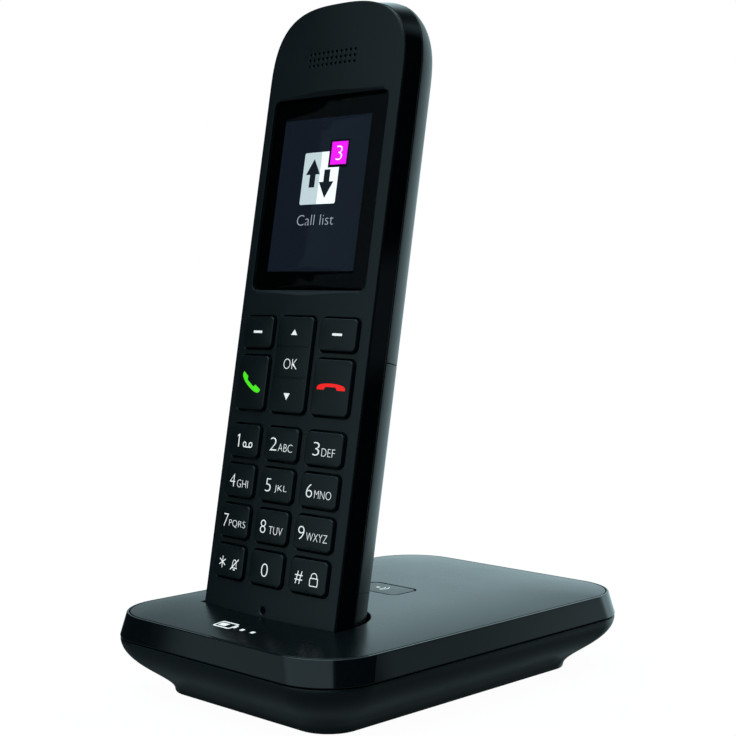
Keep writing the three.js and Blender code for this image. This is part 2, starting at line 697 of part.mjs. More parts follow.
function wide(vLow, vHigh, front = 5, back = 30) {
  return box(-30, 30, front, back, vLow, vHigh);
}

function rearShell() {
  const outer = rearBody(0, 0, REAR_FRONT);
  const skin = cut(
    cut(outer, rearBody(REAR_SIDE_WALL, REAR_WALL, REAR_FRONT - 1)),
    wide(COVER_BOTTOM_V - GAP, COVER_TOP_V + GAP),
  );
  const topEnd = common(outer, wide(COVER_TOP_V + GAP, COVER_TOP_V + GAP + WALL));
  const bottomEnd = common(outer, wide(COVER_BOTTOM_V - GAP - WALL, COVER_BOTTOM_V - GAP));
  const plate = box(
    -CHASSIS.x, CHASSIS.x, CHASSIS.front, CHASSIS.back,
    COVER_BOTTOM_V - GAP - WALL, COVER_TOP_V + GAP + WALL,
  );
  const tray = cut(
    box(-TRAY.outer, TRAY.outer, CHASSIS.front + 0.5, TRAY.back, TRAY.low, TRAY.high),
    box(-TRAY.inner, TRAY.inner, CHASSIS.front - 1, 30, TRAY.low + TRAY.end, TRAY.high - TRAY.end),
  );
  const bossBack = REAR_DEPTH - 0.8;
  const bosses = [-1, 1].map((side) => {
    return common(outer, across(3.3, side * HANDSET_SCREW.u, HANDSET_SCREW.v, REAR_FRONT, bossBack));
  });
  const screwHoles = [-1, 1].flatMap((side) => [
    across(HANDSET_SCREW.shankR + GAP, side * HANDSET_SCREW.u, HANDSET_SCREW.v, 4, 12),
    across(HANDSET_SCREW.headR + GAP, side * HANDSET_SCREW.u, HANDSET_SCREW.v, HANDSET_SCREW.headFront - GAP, 30),
  ]);
  const padRecesses = [-1, 1].map((side) => box(
    side * PAD.u - PAD.halfX - GAP, side * PAD.u + PAD.halfX + GAP,
    PAD.front - GAP, PAD.back + GAP,
    BOTTOM_V - 2, PAD.high + GAP,
  ));
  const slots = Array.from({ length: GRILLE.count }, (_, i) => {
    const v = LOUDSPEAKER.v + (i - (GRILLE.count - 1) / 2) * GRILLE.pitch;
    return box(-GRILLE.halfX, GRILLE.halfX, 15, 25, v - GRILLE.halfV, v + GRILLE.halfV);
  });
  return cut(
    join(skin, topEnd, bottomEnd, plate, tray, ...bosses),
    ...screwHoles,
    ...padRecesses,
    ...slots,
  );
}

function batteryCover() {
  const outer = rearBody(0, 0, REAR_FRONT);
  const inner = rearBody(REAR_SIDE_WALL, REAR_WALL, REAR_FRONT - 1);
  return common(cut(outer, inner), wide(COVER_BOTTOM_V, COVER_TOP_V));
}

function displayWindow() {
  const place = { uLow: -LENS.x, uHigh: LENS.x, low: LENS.low, high: LENS.high, r: LENS.r };
  return common(
    facePrism(place, 0, -4, 4),
    slab(
      HALF_WIDTH,
      (u) => faceDepth(u) + LENS.sunk,
      (u) => faceDepth(u) + LENS.sunk + LENS.thick,
      60,
      140,
    ),
  );
}

function handsetBoard() {
  const main = box(-21, 21, BOARD_FRONT, BOARD_BACK, 0, 126);
  const tongue = box(-11, 11, BOARD_FRONT, BOARD_BACK, -9, 1);
  return join(main, tongue);
}

function keypadMat() {
  const sheet = box(-MAT.x, MAT.x, MAT.front, MAT.back, MAT.low, MAT.high);
  const domes = KEYS.map((place) => {
    const [u, v] = [(place.uLow + place.uHigh) / 2, (place.low + place.high) / 2];
    return across(2.4, u, v, MAT.front - 0.2, MAT.front + 0.4, 6);
  });
  const navHole = across(MAT.holeR, 0, (NAV.low + NAV.high) / 2, MAT.front - 1, MAT.back + 1, 12);
  return cut(join(sheet, ...domes), navHole);
}

function navPlunger() {
  return across(NAV_PLUNGER.r, 0, (NAV.low + NAV.high) / 2, NAV_PLUNGER.front, NAV_PLUNGER.back, 16);
}

// Speaker: a shallow dish with a raised magnet behind it, about an axis through the phone.
function speaker({ v, r, front, back }) {
  const depth = back - front;
  const profile = [[0, 0], [r, 0], [r, depth * 0.45], [r * 0.6, depth * 0.6], [r * 0.6, depth], [0, depth]];
  const points = profile.map(([x, y]) => new THREE.Vector2(x, y));
  return new THREE.LatheGeometry(points, 20).translate(0, front, v);
}

// Cell with its raised contact at the far end, along the length of the phone.
function batteryCell() {
  const length = CELL.high - CELL.low;
  const points = [[0, 0], [CELL.r, 0], [CELL.r, length - 1], [1.9, length - 0.8], [1.9, length], [0, length]];
  return new THREE.LatheGeometry(points.map(([x, y]) => new THREE.Vector2(x, y)), 16).rotateX(Math.PI / 2);
}

// Conical contact spring, drawn as the closed cone that its coils fill.
function batterySpring() {
  const points = [[0, 0], [3.6, 0], [1.8, 2.4], [0, 2.4]].map(([x, y]) => new THREE.Vector2(x, y));
  return new THREE.LatheGeometry(points, 14).rotateX(Math.PI / 2);
}

function handsetAntenna() {
  const strip = box(14, 14.6, BOARD_BACK + GAP, 10, 104, 122);
  return cut(strip, box(13, 16, BOARD_BACK, 8.6, 107, 117));
}

// ---------------------------------------------------------------- assembly

const phone = new THREE.Group();
const handset = new THREE.Group();
handset.position.copy(HANDSET_AT);
handset.rotation.x = -LEAN;
phone.add(handset);

function add(parent, name, geometry, material) {
  const mesh = new THREE.Mesh(geometry, material);
  mesh.name = name;
  parent.add(mesh);
  return mesh;
}

add(phone, 'base_lower_shell', baseLowerShell(), FINISH.satin);
add(phone, 'base_trim_band', baseTrimBand(), FINISH.gloss);
add(phone, 'base_top_shell', baseTopShell(), FINISH.satin);
add(phone, 'base_circuit_board', baseBoard(), FINISH.board);
add(phone, 'radio_shield', radioShield(), FINISH.metal);
add(phone, 'base_antenna', baseAntenna(), FINISH.metal);
add(phone, 'page_switch', pageSwitch(), FINISH.speaker);
add(phone, 'line_socket', lineSocket(), FINISH.socket);
add(phone, 'dc_inlet', dcInlet(), FINISH.socket);
add(phone, 'page_button', pageButton(), FINISH.satin);
for (const [place, x, y] of footPlaces()) {
  add(phone, `foot_pad_${place}`, footPad(), FINISH.rubber).position.set(x, y, 0);
}
BASE_SCREWS.forEach(([x, y], i) => {
  const { headR, headLow, headHigh, shankR, tipZ } = BASE_SCREW;
  add(phone, `base_screw_${i + 1}`, screw(headR, headLow, headHigh, shankR, tipZ), FINISH.metal)
    .position.set(x, y, 0);
});

add(handset, 'handset_front_shell', frontShell(), FINISH.satin);
add(handset, 'handset_trim_band', trimBand(), FINISH.gloss);
add(handset, 'handset_rear_shell', rearShell(), FINISH.satin);
add(handset, 'battery_cover', batteryCover(), FINISH.satin);
add(handset, 'display_window', displayWindow(), FINISH.glass);
add(
  handset,
  'lcd_panel',
  box(-LCD.x, LCD.x, LCD.front, LCD.back, LCD.low, LCD.high),
  FINISH.screen,
);
add(handset, 'handset_circuit_board', handsetBoard(), FINISH.board);
add(handset, 'keypad_mat', keypadMat(), FINISH.rubber);
add(handset, 'earpiece_speaker', speaker(EAR_SPEAKER), FINISH.speaker);
add(handset, 'loudspeaker', speaker(LOUDSPEAKER).rotateX(Math.PI)
  .translate(0, LOUDSPEAKER.front + LOUDSPEAKER.back, 2 * LOUDSPEAKER.v), FINISH.speaker);
add(handset, 'microphone', across(MIC.r, 0, MIC.v, MIC.front, MIC.back, 16), FINISH.metal);
add(handset, 'handset_antenna', handsetAntenna(), FINISH.metal);
for (const place of KEYS) {
  add(handset, place.name, keyCap(place), FINISH.key);
}
add(handset, 'nav_plunger', navPlunger(), FINISH.rubber);
add(handset, 'nav_rocker', keyCap(NAV), FINISH.key);

for (const [name, side] of [['left', -1], ['right', 1]]) {
  const cell = add(handset, `battery_cell_${name}`, batteryCell(), FINISH.cell);
  const spring = add(handset, `battery_spring_${name}`, batterySpring(), FINISH.metal);
  // The cells face opposite ways, and each flat end has its spring.
  cell.position.set(side * CELL.u, CELL.depth, side < 0 ? CELL.low : CELL.high);
  cell.rotation.x = side < 0 ? 0 : Math.PI;
  spring.position.set(side * CELL.u, CELL.depth, side < 0 ? TRAY.low + TRAY.end + GAP : TRAY.high - TRAY.end - GAP);
  spring.rotation.x = side < 0 ? 0 : Math.PI;

  const { headR, headFront, headBack, shankR, tip } = HANDSET_SCREW;
  const fastener = screw(headR, 0, headBack - headFront, shankR, headBack - tip);
  const handsetScrew = add(handset, `handset_screw_${name}`, fastener, FINISH.metal);
  handsetScrew.position.set(side * HANDSET_SCREW.u, headBack, HANDSET_SCREW.v);
  handsetScrew.rotation.x = Math.PI / 2;

  const u = side * PAD.u;
  const pad = box(u - PAD.halfX, u + PAD.halfX, PAD.front, PAD.back, PAD.low, PAD.high);
  add(handset, `charging_pad_${name}`, pad, FINISH.gold);
  add(handset, `cradle_contact_${name}`, cradleContact(), FINISH.gold).position.x = u;
}

export default phone;
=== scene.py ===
"""Looks of a cordless phone standing in its charging base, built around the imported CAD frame.

Shapes are worked out in millimetres and become metres when a mesh is made. The handset has its own
frame: u across the face, depth into the phone from the edge of the face, v along the handset.
"""

import json
import math

import bmesh
import bpy
import numpy as np
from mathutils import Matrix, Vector
from mathutils.bvhtree import BVHTree
from mathutils.geometry import delaunay_2d_cdt


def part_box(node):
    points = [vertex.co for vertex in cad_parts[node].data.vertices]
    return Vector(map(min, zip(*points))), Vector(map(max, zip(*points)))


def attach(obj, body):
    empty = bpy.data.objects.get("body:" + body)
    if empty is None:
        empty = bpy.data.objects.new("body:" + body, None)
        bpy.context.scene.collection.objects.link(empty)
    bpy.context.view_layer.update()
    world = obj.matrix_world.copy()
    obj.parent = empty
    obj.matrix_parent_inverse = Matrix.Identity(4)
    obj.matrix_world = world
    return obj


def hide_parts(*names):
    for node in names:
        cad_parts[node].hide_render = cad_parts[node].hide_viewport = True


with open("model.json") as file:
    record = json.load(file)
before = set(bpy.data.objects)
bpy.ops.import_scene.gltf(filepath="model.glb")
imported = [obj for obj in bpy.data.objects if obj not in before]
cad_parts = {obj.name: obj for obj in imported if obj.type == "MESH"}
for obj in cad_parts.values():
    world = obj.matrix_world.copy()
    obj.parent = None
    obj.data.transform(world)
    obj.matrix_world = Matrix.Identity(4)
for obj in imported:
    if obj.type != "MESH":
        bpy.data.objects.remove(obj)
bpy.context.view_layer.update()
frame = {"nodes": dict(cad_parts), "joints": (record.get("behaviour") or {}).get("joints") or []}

MM = 0.001
JOINTS = {joint["name"]: joint for joint in frame["joints"]}
ACROSS = np.array((1.0, 0.0, 0.0))
INTO = np.array(JOINTS["nav_ok_press"]["axis"])
ALONG = np.array(JOINTS["handset_lift"]["axis"])

# Handset, in its own frame.
BOTTOM_V = -16.0
BOTTOM_R = 7.0
SHOULDER_V = 128.0
TOP_ROUNDNESS = 3.0
TOP_SLANT = 2.5 / 8.0
TOP_SLANT_DEPTH = 8.0
CROWN = 1.64
FACE_RIM = 0.35
RIM_WIDTH = 1.9  # how far the thin rim of the face reaches in
FACE_EDGE = 0.28
PLATE_BACK = 1.6
BAND_FRONT = 0.65
BAND_WALL = 1.5
REAR_R = 14.0
REAR_BOTTOM_R = 5.0
REAR_WALL = 1.6
REAR_SIDE_WALL = 2.0
REAR_RIM = 0.15
END_WALL = 1.8
CHASSIS_FRONT, CHASSIS_BACK = 5.9, 7.1
CHASSIS_HALF = 21.6
CHASSIS_OVER = 2.1  # how far the chassis reaches past the ends of the battery cover
TRAY = ((-12.4, 6.4, 3.2), (12.4, 15.5, 56.5))  # low and high (u, depth, v)
TRAY_HOLLOW = ((-11.0, CHASSIS_BACK, 4.4), (11.0, 30, 55.3))
SCREW_U, SCREW_V = 16.5, -6.0
BOSS_R = 3.3
SCREW_SEAT = 8.9  # depth of the seat of the screws' heads
LOUDSPEAKER_V = 100
SLOT_COUNT, SLOT_PITCH, SLOT_HALF = 5, 3.0, 6.0
SEAM_GAP = 0.3
LOW_SEAM_GAP = 0.1  # the lower seam of the battery cover hardly shows

# Keys and display.
KEY_R = 1.3
KEY_GAP = 0.4
KEY_RIM = 0.22  # rounding of the face round each key
FLANGE_OUT = 0.8
FLANGE_THICK = 0.5
KEY_SIDE = 0.5  # height of a key's upright side above the face
KEY_FILLET = 0.34
KEY_MIDDLE = 1.06
NAV_GROOVES = (60.1, 52.2)
GROOVE_HALF = 0.38
LENS_R = 1.8
LENS_SUNK = 0.05
LENS_THICK = 1.0
LIT = {"u": -0.5, "half_u": 15.85, "low": 79.8, "high": 119.65}
EAR_ROWS = (136.2, 134.65, 133.1)
EAR_COUNT = 11
EAR_PITCH = 1.62
EAR_R = 0.4
MIC_V = -6.1
MIC_R, MIC_RIM = 0.85, 0.45

# Base.
BASE_GAP = 0.3
BAND_EDGE = 0.25
BAND_RIM = 0.5
LEDGE_Z = 19.1  # ledge inside the band that carries the top
CORNER_SEAM = 15.0
CORNER_TOP = 16.1
DOME_RISE = 2.3
TOP_WALL = 1.8
TUCK = ((0.1, 14.6), (0.1, 7.6), (11.8, 4.5), (11.8, 0.5))
CORNER_LOSS = 0.52
POCKET = {"half": 25.0, "front": 0.45, "back": 20.1, "floor": -16.6, "r": 14.8, "lip": 0.28}
CONTACT_U = 11.0
CONTACT_DEPTH = 10.5
PAGE_R = 2.0
PAGE_GAP = 0.6
SHELL_WALL = 2.2
BAY = ((-17.3, 5.5), (15.8, 13.4))  # low and high (x, z) of the connection bay's mouth
LINE_HOLE = (5.15, 5.9, 13.1)  # half width, foot and head of the line socket's hole
DC_HOLE = (3.3, 9.4)  # radius and height of the power inlet's hole
POST_R, POST_TOP = 4.0, 5.5
FOOT_RECESS_R, FOOT_RECESS_Z = 4.8, 1.7
FEET = ("front_left", "front_right", "rear_left", "rear_right")


# ---- places


def vertices(node):
    return np.array([v.co[:] for v in frame["nodes"][node].data.vertices]) / MM


def along_axes(points):
    return np.stack([points @ ACROSS, points @ INTO, points @ ALONG], 1)


BAND_LOW = along_axes(vertices("handset_trim_band")).min(0)
ORIGIN = (BAND_LOW[1] - BAND_FRONT) * INTO + (BAND_LOW[2] - BOTTOM_V) * ALONG


def local_box(node):
    """Lowest and highest (u, depth, v) of a CAD node in the handset's frame."""
    local = along_axes(vertices(node) - ORIGIN)
    return local.min(0), local.max(0)


def handset_point(u, depth, v):
    return tuple(ORIGIN + u * ACROSS + depth * INTO + v * ALONG)


def box_mm(node):
    low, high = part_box(node)
    return np.array(low) / MM, np.array(high) / MM


def plan_middle(node):
    low, high = box_mm(node)
    return (low[0] + high[0]) / 2, (low[1] + high[1]) / 2


HALF_WIDTH = local_box("handset_trim_band")[1][0]
TOP_V = local_box("handset_front_shell")[1][2]
BAND_BACK = local_box("handset_trim_band")[1][1]
REAR_FRONT = BAND_BACK + SEAM_GAP
REAR_DEPTH = local_box("handset_rear_shell")[1][1]
COVER = (local_box("battery_cover")[0][2], local_box("battery_cover")[1][2])
SEAM_X, SEAM_Y, _ = box_mm("base_trim_band")[1]
SEAM_Z = box_mm("base_trim_band")[0][2]
TOP_Z = box_mm("base_trim_band")[1][2]
TOP_X, TOP_Y = SEAM_X - 1.1, SEAM_Y - 0.9
FLOOR_Z = 2.4


def face_depth(u):
    return -CROWN * (1 - min(abs(u) / HALF_WIDTH, 1) ** 2)


# ---- outlines


def rounded_rect(half_a, half_b, r, steps, centre=(0, 0)):
    """Counterclockwise (a, b) points, from the right side on."""
    pairs = []
    for quarter, (side_a, side_b) in enumerate(((1, 1), (-1, 1), (-1, -1), (1, -1))):
        a, b = centre[0] + side_a * (half_a - r), centre[1] + side_b * (half_b - r)
        for i in range(steps + 1):
            turn = (quarter + i / steps) * math.pi / 2
            pairs.append((a + r * math.cos(turn), b + r * math.sin(turn)))
    return pairs


def round_loop(half_a, half_b, r, steps, middle):
    """A rounded rectangle as a function of its growth."""
    return lambda grow: rounded_rect(half_a + grow, half_b + grow, max(r + grow, 0.1), steps, middle)


def circle(r, centre, steps=16):
    turns = [2 * math.pi * i / steps for i in range(steps)]
    return [(centre[0] + r * math.cos(t), centre[1] + r * math.sin(t)) for t in turns]


def handset_outline(half, top, bottom, corner, top_steps=72, corner_steps=10):
    """Outline of the handset seen from the front, counterclockwise from its bottom left corner."""
    pairs = []
    for side, quarter in ((-1, 2), (1, 3)):
        for i in range(corner_steps + 1):
            turn = (quarter + i / corner_steps) * math.pi / 2
            a, b = corner * math.cos(turn), corner * math.sin(turn)
            pairs.append((side * (half - corner) + a, bottom + corner + b))
    power = 2 / TOP_ROUNDNESS
    for i in range(top_steps + 1):
        turn = math.pi * i / top_steps
        c, s = math.cos(turn), max(math.sin(turn), 0.0)
        u = half * math.copysign(abs(c) ** power, c)
        pairs.append((u, SHOULDER_V + (top - SHOULDER_V) * s**power))
    return pairs


def top_at(depth):
    return TOP_V + TOP_SLANT * min(max(depth, 0), TOP_SLANT_DEPTH)


def band_outline(inset, depth=0.0):
    half, top = HALF_WIDTH - inset, top_at(depth) - inset
    return handset_outline(half, top, BOTTOM_V + inset, BOTTOM_R - inset)


def arc(start, end, steps):
    """Angles in radians between two given in degrees."""
    return [math.radians(start + (end - start) * i / steps) for i in range(steps + 1)]


def rounded_edge(r, steps=4):
    """(along, inset) pairs of a quarter round that starts at its inset end."""
    return [(r * (1 - math.cos(t)), r * (1 - math.sin(t))) for t in arc(0, 90, steps)]


def band_profile(low, high, r):
    """(place, inset) pairs over the outside of a band between two places, its edges rounded."""
    edge = rounded_edge(r)
    return [(low + a, b) for a, b in edge] + [(high - a, b) for a, b in reversed(edge)]


# ---- mesh building


def inside(points, loop):
    """Which of the points lie inside a closed loop."""
    loop = np.asarray(loop)
    result = np.zeros(len(points), bool)
    for (a0, b0), (a1, b1) in zip(loop, np.roll(loop, -1, 0)):
        crosses = (b0 > points[:, 1]) != (b1 > points[:, 1])
        with np.errstate(divide="ignore", invalid="ignore"):
            where = (a1 - a0) * (points[:, 1] - b0) / (b1 - b0) + a0
        result ^= crosses & (points[:, 0] < where)
    return result


def clearance(points, loops):
    """Distance of each point from the nearest loop."""
    best = np.full(len(points), 1e9)
    for loop in loops:
        loop = np.asarray(loop)
        for start, end in zip(loop, np.roll(loop, -1, 0)):
            step = end - start
            t = np.clip((points - start) @ step / max(step @ step, 1e-12), 0, 1)
            gap = np.linalg.norm(points - start - t[:, None] * step, axis=1)
            best = np.minimum(best, gap)
    return best


def between(points, loops):
    """Which of the points lie inside the first loop and outside all others."""
    keep = inside(points, loops[0])
    for hole in loops[1:]:
        keep &= ~inside(points, hole)
    return keep


def fill(loops, spacing, extra=()):
    """Triangles between closed loops, the first one outermost, over a grid of inner points.

    Returns the points, the triangles and each loop's own point numbers."""
    points = [tuple(p) for loop in loops for p in loop]
    edges, ids = [], []
    for loop in loops:
        start = ids[-1][-1] + 1 if ids else 0
        ids.append(list(range(start, start + len(loop))))
        edges += list(zip(ids[-1], ids[-1][1:] + ids[-1][:1]))
    low, high = np.min(loops[0], 0), np.max(loops[0], 0)
    columns = np.arange(low[0] + spacing / 2, high[0], spacing)
    rows = np.arange(low[1] + spacing / 2, high[1], spacing)
    grid = np.array([(a, b) for a in columns for b in rows] + list(extra)).reshape(-1, 2)
    grid = grid[between(grid, loops)]
    grid = grid[clearance(grid, loops) > 0.4 * spacing]
    if len(extra):
        forced = np.array(extra)
        near = np.min(np.linalg.norm(grid[:, None] - forced[None], axis=2), 1)
        grid = grid[(near > 0.4 * spacing) | (near < 1e-9)]
    points += [tuple(p) for p in grid]
    vectors = [Vector(p) for p in points]
    _, _, faces, origin, _, _ = delaunay_2d_cdt(vectors, edges, [], 0, 1e-7)
    triangles = [tuple(origin[i][0] for i in face) for face in faces]
    keep = between(np.array(points)[np.array(triangles)].mean(1), loops)
    return points, [t for t, k in zip(triangles, keep) if k], ids


class Skin:
    """A surface whose points each have a partner on the hidden side, closed along its borders."""

    def __init__(self):
        self.outer, self.inner, self.faces = [], [], []

    def add(self, outer, inner):
        start = len(self.outer)
        self.outer += outer
        self.inner += inner
        return list(range(start, len(self.outer)))

    def bridge(self, a, b):
        for i in range(len(a)):
            j = (i + 1) % len(a)
            self.faces.append((a[i], a[j], b[j], b[i]))

    def solid(self):
        count = len(self.outer)
        uses = {}
        for face in self.faces:
            for a, b in zip(face, face[1:] + face[:1]):
                uses.setdefault((min(a, b), max(a, b)), []).append((a, b))
        rim = [pairs[0] for pairs in uses.values() if len(pairs) == 1]
        faces = list(self.faces)
        faces += [tuple(i + count for i in reversed(face)) for face in self.faces]
        faces += [(b, a, a + count, b + count) for a, b in rim]
        return self.outer + self.inner, faces


def plate(outer, holes, surface, under, spacing, steps=4):
    """A skin with a rounded edge round its outline and each hole.

    outer and each hole are (loop as a function of growth, rounding). Returns the skin and,
    for each loop, its rings from the flat to the foot of the rounding."""
    edges = [(*outer, -1)] + [(*hole, 1) for hole in holes]
    loops = [loop(side * r) for loop, r, side in edges]
    flat, triangles, ids = fill(loops, spacing)
    skin = Skin()
    skin.add([surface(a, b, 0) for a, b in flat], [under(a, b) for a, b in flat])
    skin.faces += triangles
    rings = []
    for (loop, r, side), first in zip(edges, ids):
        rings.append([first])
        for k in range(1, steps + 1):
            turn = k / steps * math.pi / 2
            pairs = loop(side * r * (1 - math.sin(turn)))
            drop = r * (1 - math.cos(turn))
            ring = skin.add([surface(a, b, drop) for a, b in pairs], [under(a, b) for a, b in pairs])
            skin.bridge(rings[-1][-1], ring)
            rings[-1].append(ring)
    return skin, rings


def loft(rings, loop=False):
    """Points and faces of a skin over rings of equal counts: closed by fans, or joined round."""
    count = len(rings[0])
    points = [tuple(p) for ring in rings for p in ring]
    faces = []
    for i in range(len(rings) if loop else len(rings) - 1):
        here, there = i * count, (i + 1) % len(rings) * count
        for j in range(count):
            k = (j + 1) % count
            faces.append((here + j, here + k, there + k, there + j))
    if not loop:
        last = (len(rings) - 1) * count
        for ring, start in ((rings[0], 0), (rings[-1], last)):
            middle = len(points)
            points.append(tuple(np.mean(np.array(ring), 0)))
            faces += [(start + (j + 1) % count, start + j, middle) for j in range(count)]
    return points, faces


def block(low, high, place=lambda *p: p):
    """A box between two corners, as points and faces."""
    around = ((low[0], low[1]), (high[0], low[1]), (high[0], high[1]), (low[0], high[1]))
    points = [place(a, b, c) for c in (low[2], high[2]) for a, b in around]
    sides = [(i, (i + 1) % 4, (i + 1) % 4 + 4, i + 4) for i in range(4)]
    return points, [(3, 2, 1, 0), (4, 5, 6, 7), *sides]


def rod(r, low, high, place, steps=32):
    """A cylinder whose axis runs from low to high; place turns (a, b, height) into a point."""
    loop = circle(r, (0, 0), steps)
    return loft([[place(a, b, height) for a, b in loop] for height in (low, high)])


def new_object(name, data):
    thing = bpy.data.objects.new(name, data)
    bpy.context.scene.collection.objects.link(thing)
    return thing


def evaluated_mesh(thing):
    done = thing.evaluated_get(bpy.context.evaluated_depsgraph_get())
    return bpy.data.meshes.new_from_object(done)


def mesh_object(name, points, faces):
    mesh = bpy.data.meshes.new(name)
    mesh.from_pydata([tuple(c * MM for c in p) for p in points], [], faces)
    build = bmesh.new()
    build.from_mesh(mesh)
    bmesh.ops.remove_doubles(build, verts=build.verts, dist=1e-7)
    bmesh.ops.recalc_face_normals(build, faces=build.faces)
    build.to_mesh(mesh)
    build.free()
    return new_object(name, mesh)


def combine(thing, operation, *parts):
    """Boolean of an object with parts given as (points, faces)."""
    for points, faces in parts:
        tool = mesh_object("tool", points, faces)
        step = thing.modifiers.new("step", "BOOLEAN")
        step.operation, step.solver, step.object = operation, "MANIFOLD", tool
        mesh = evaluated_mesh(thing)
        thing.modifiers.clear()
        old, thing.data = thing.data, mesh
        bpy.data.meshes.remove(old)
        bpy.data.objects.remove(tool)
    return thing


def shape_of(thing):
    """Points and faces of an object, which is then removed."""
    points = [tuple(c / MM for c in v.co) for v in thing.data.vertices]
    faces = [tuple(p.vertices) for p in thing.data.polygons]
    bpy.data.objects.remove(thing)
    return points, faces


def finish_piece(thing, body, material, stands_for, angle=40):
    """Give a mesh its look, the body it rides on and the CAD nodes that it replaces."""
    mesh = thing.data
    mesh.materials.clear()
    mesh.materials.append(material)
    mesh.polygons.foreach_set("use_smooth", [True] * len(mesh.polygons))
    mesh.set_sharp_from_angle(angle=math.radians(angle))
    weighted = thing.modifiers.new("weighted", "WEIGHTED_NORMAL")
    weighted.keep_sharp = True
    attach(thing, body)
    if stands_for:
        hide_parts(*stands_for)
    return thing


def piece(name, shape, body, material, stands_for=(), angle=32):
    return finish_piece(mesh_object(name, *shape), body, material, stands_for, angle)


# ---- materials


class Nodes:
    """Short hand for building a node tree. Inputs are values, or other nodes' outputs."""

    def __init__(self, owner):
        owner.use_nodes = True
        self.tree = owner.node_tree
        self.tree.nodes.clear()

    def add(self, kind, inputs=None, **settings):
        node = self.tree.nodes.new("ShaderNode" + kind)
        for key, value in settings.items():
            setattr(node, key, value)
        for key, value in (inputs or {}).items():
            if hasattr(value, "links"):
                self.tree.links.new(value, node.inputs[key])
            else:
                node.inputs[key].default_value = value
        return node

    def math(self, operation, a, b=0.0):
        return self.add("Math", {0: a, 1: b}, operation=operation).outputs[0]

    def noise(self, vector, feature_mm, detail, roughness):
        scale = 1 / (feature_mm * MM)
        inputs = {"Vector": vector, "Scale": scale, "Detail": detail, "Roughness": roughness}
        return self.add("TexNoise", inputs).outputs["Fac"]

    def remap(self, value, low, high, to_low, to_high, kind="LINEAR"):
        inputs = {"Value": value, "From Min": low, "From Max": high}
        inputs |= {"To Min": to_low, "To Max": to_high}
        return self.add("MapRange", inputs, interpolation_type=kind).outputs["Result"]


def shade(colour, factor):
    return (*(min(c * factor, 1) for c in colour), 1.0)


def make_material(
    name, colour, roughness, grain_mm, grain, mottle, spread,
    metallic=0.0, glow=0.0, specular=0.5, stretch=None,
):
    """Plastic, metal, rubber or print: fine grain, faint mottling and uneven gloss."""
    material = bpy.data.materials.new(name)
    n = Nodes(material)
    place = n.add("TexCoord").outputs["Object"]
    if stretch:
        place = n.add("Mapping", {"Vector": place, "Scale": stretch}).outputs["Vector"]
    fine = n.noise(place, grain_mm, 3.0, 0.6)
    broad = n.noise(place, 14.0, 3.0, 0.55)
    scuff = n.noise(place, 2.2, 5.0, 0.7)
    shades = {"Factor": broad, "A": shade(colour, 1 - mottle), "B": shade(colour, 1 + mottle)}
    uneven = n.remap(broad, 0.3, 0.7, roughness - spread, roughness + spread)
    worn = n.remap(scuff, 0.62, 0.8, 0.0, spread)
    bump = n.add("Bump", {"Strength": grain, "Distance": 0.05 * MM, "Height": fine})
    inputs = {
        "Base Color": n.add("Mix", shades, data_type="RGBA").outputs["Result"],
        "Roughness": n.math("ADD", uneven, worn),
        "Normal": bump.outputs["Normal"],
        "Metallic": metallic,
        "Specular IOR Level": specular,
    }
    if glow:
        inputs |= {"Emission Color": shade(colour, 1), "Emission Strength": glow}
    shader = n.add("BsdfPrincipled", inputs)
    n.add("OutputMaterial", {"Surface": shader.outputs[0]})
    return material


def glass_material(name):
    """Clear window: light passes straight through it, under a polished reflecting face."""
    material = bpy.data.materials.new(name)
    n = Nodes(material)
    clear = n.add("BsdfTransparent", {"Color": (0.97, 0.98, 0.99, 1)})
    smear = n.noise(n.add("TexCoord").outputs["Object"], 9.0, 4.0, 0.6)
    polish = n.remap(smear, 0.4, 0.8, 0.0, 0.06)
    face = n.add("BsdfGlossy", {"Color": (1, 1, 1, 1), "Roughness": polish})
    fresnel = n.add("Fresnel", {"IOR": 1.05}).outputs[0]
    outward = n.math("SUBTRACT", 1.0, n.add("NewGeometry").outputs["Backfacing"])
    share = n.math("MULTIPLY", fresnel, outward)
    mix = n.add("MixShader", {0: share, 1: clear.outputs[0], 2: face.outputs[0]})
    n.add("OutputMaterial", {"Surface": mix.outputs[0]})
    return material


def gloss(name, colour, roughness=0.05, mottle=0.2, **more):
    """A polished face: next to no grain, only faint waves."""
    return make_material(name, colour, roughness, 3.0, 0.02, mottle, 0.02, **more)


def painted_glow_ink(name, colour, glow):
    """Printed legend whose glow is painted light that makes the print read bright."""
    return make_material(name, colour, 0.45, 0.12, 0.1, 0.04, 0.05, glow=glow)


def lit(name, colour, mottle=0.02, glow=0.85):
    """Part of the picture on the display."""
    return make_material(name, colour, 0.4, 0.19, 0.02, mottle, 0.03, glow=glow, specular=0.1)


def metal(name, colour, roughness, grain_mm, grain, mottle, **more):
    return make_material(name, colour, roughness, grain_mm, grain, mottle, 0.08, metallic=1.0, **more)


BLACK = (0.0068, 0.0118, 0.0142)
SATIN = make_material("satin_plastic", BLACK, 0.33, 0.30, 0.12, 0.10, 0.03)
FACE = make_material("face_plastic", BLACK, 0.38, 0.28, 0.12, 0.10, 0.03)
KEYS = make_material("key_plastic", (0.0064, 0.0108, 0.0130), 0.34, 0.24, 0.10, 0.08, 0.03)
GLOSS = gloss("gloss_plastic", (0.0040, 0.0066, 0.0088), specular=0.8)
BAND = gloss("band_plastic", (0.0018, 0.0030, 0.0044), specular=0.17)
TOP = make_material("base_top_plastic", (0.0036, 0.0064, 0.0078), 0.27, 0.30, 0.03, 0.08, 0.01)
MASK = gloss("window_mask", (0.0006, 0.0009, 0.0012), 0.10, 0.1, specular=0.15)
GLASS = glass_material("window_glass")
SCREEN = gloss("screen_ground", (0.0056, 0.0082, 0.0134), 0.03, 0.06, glow=1.0, specular=0.15)
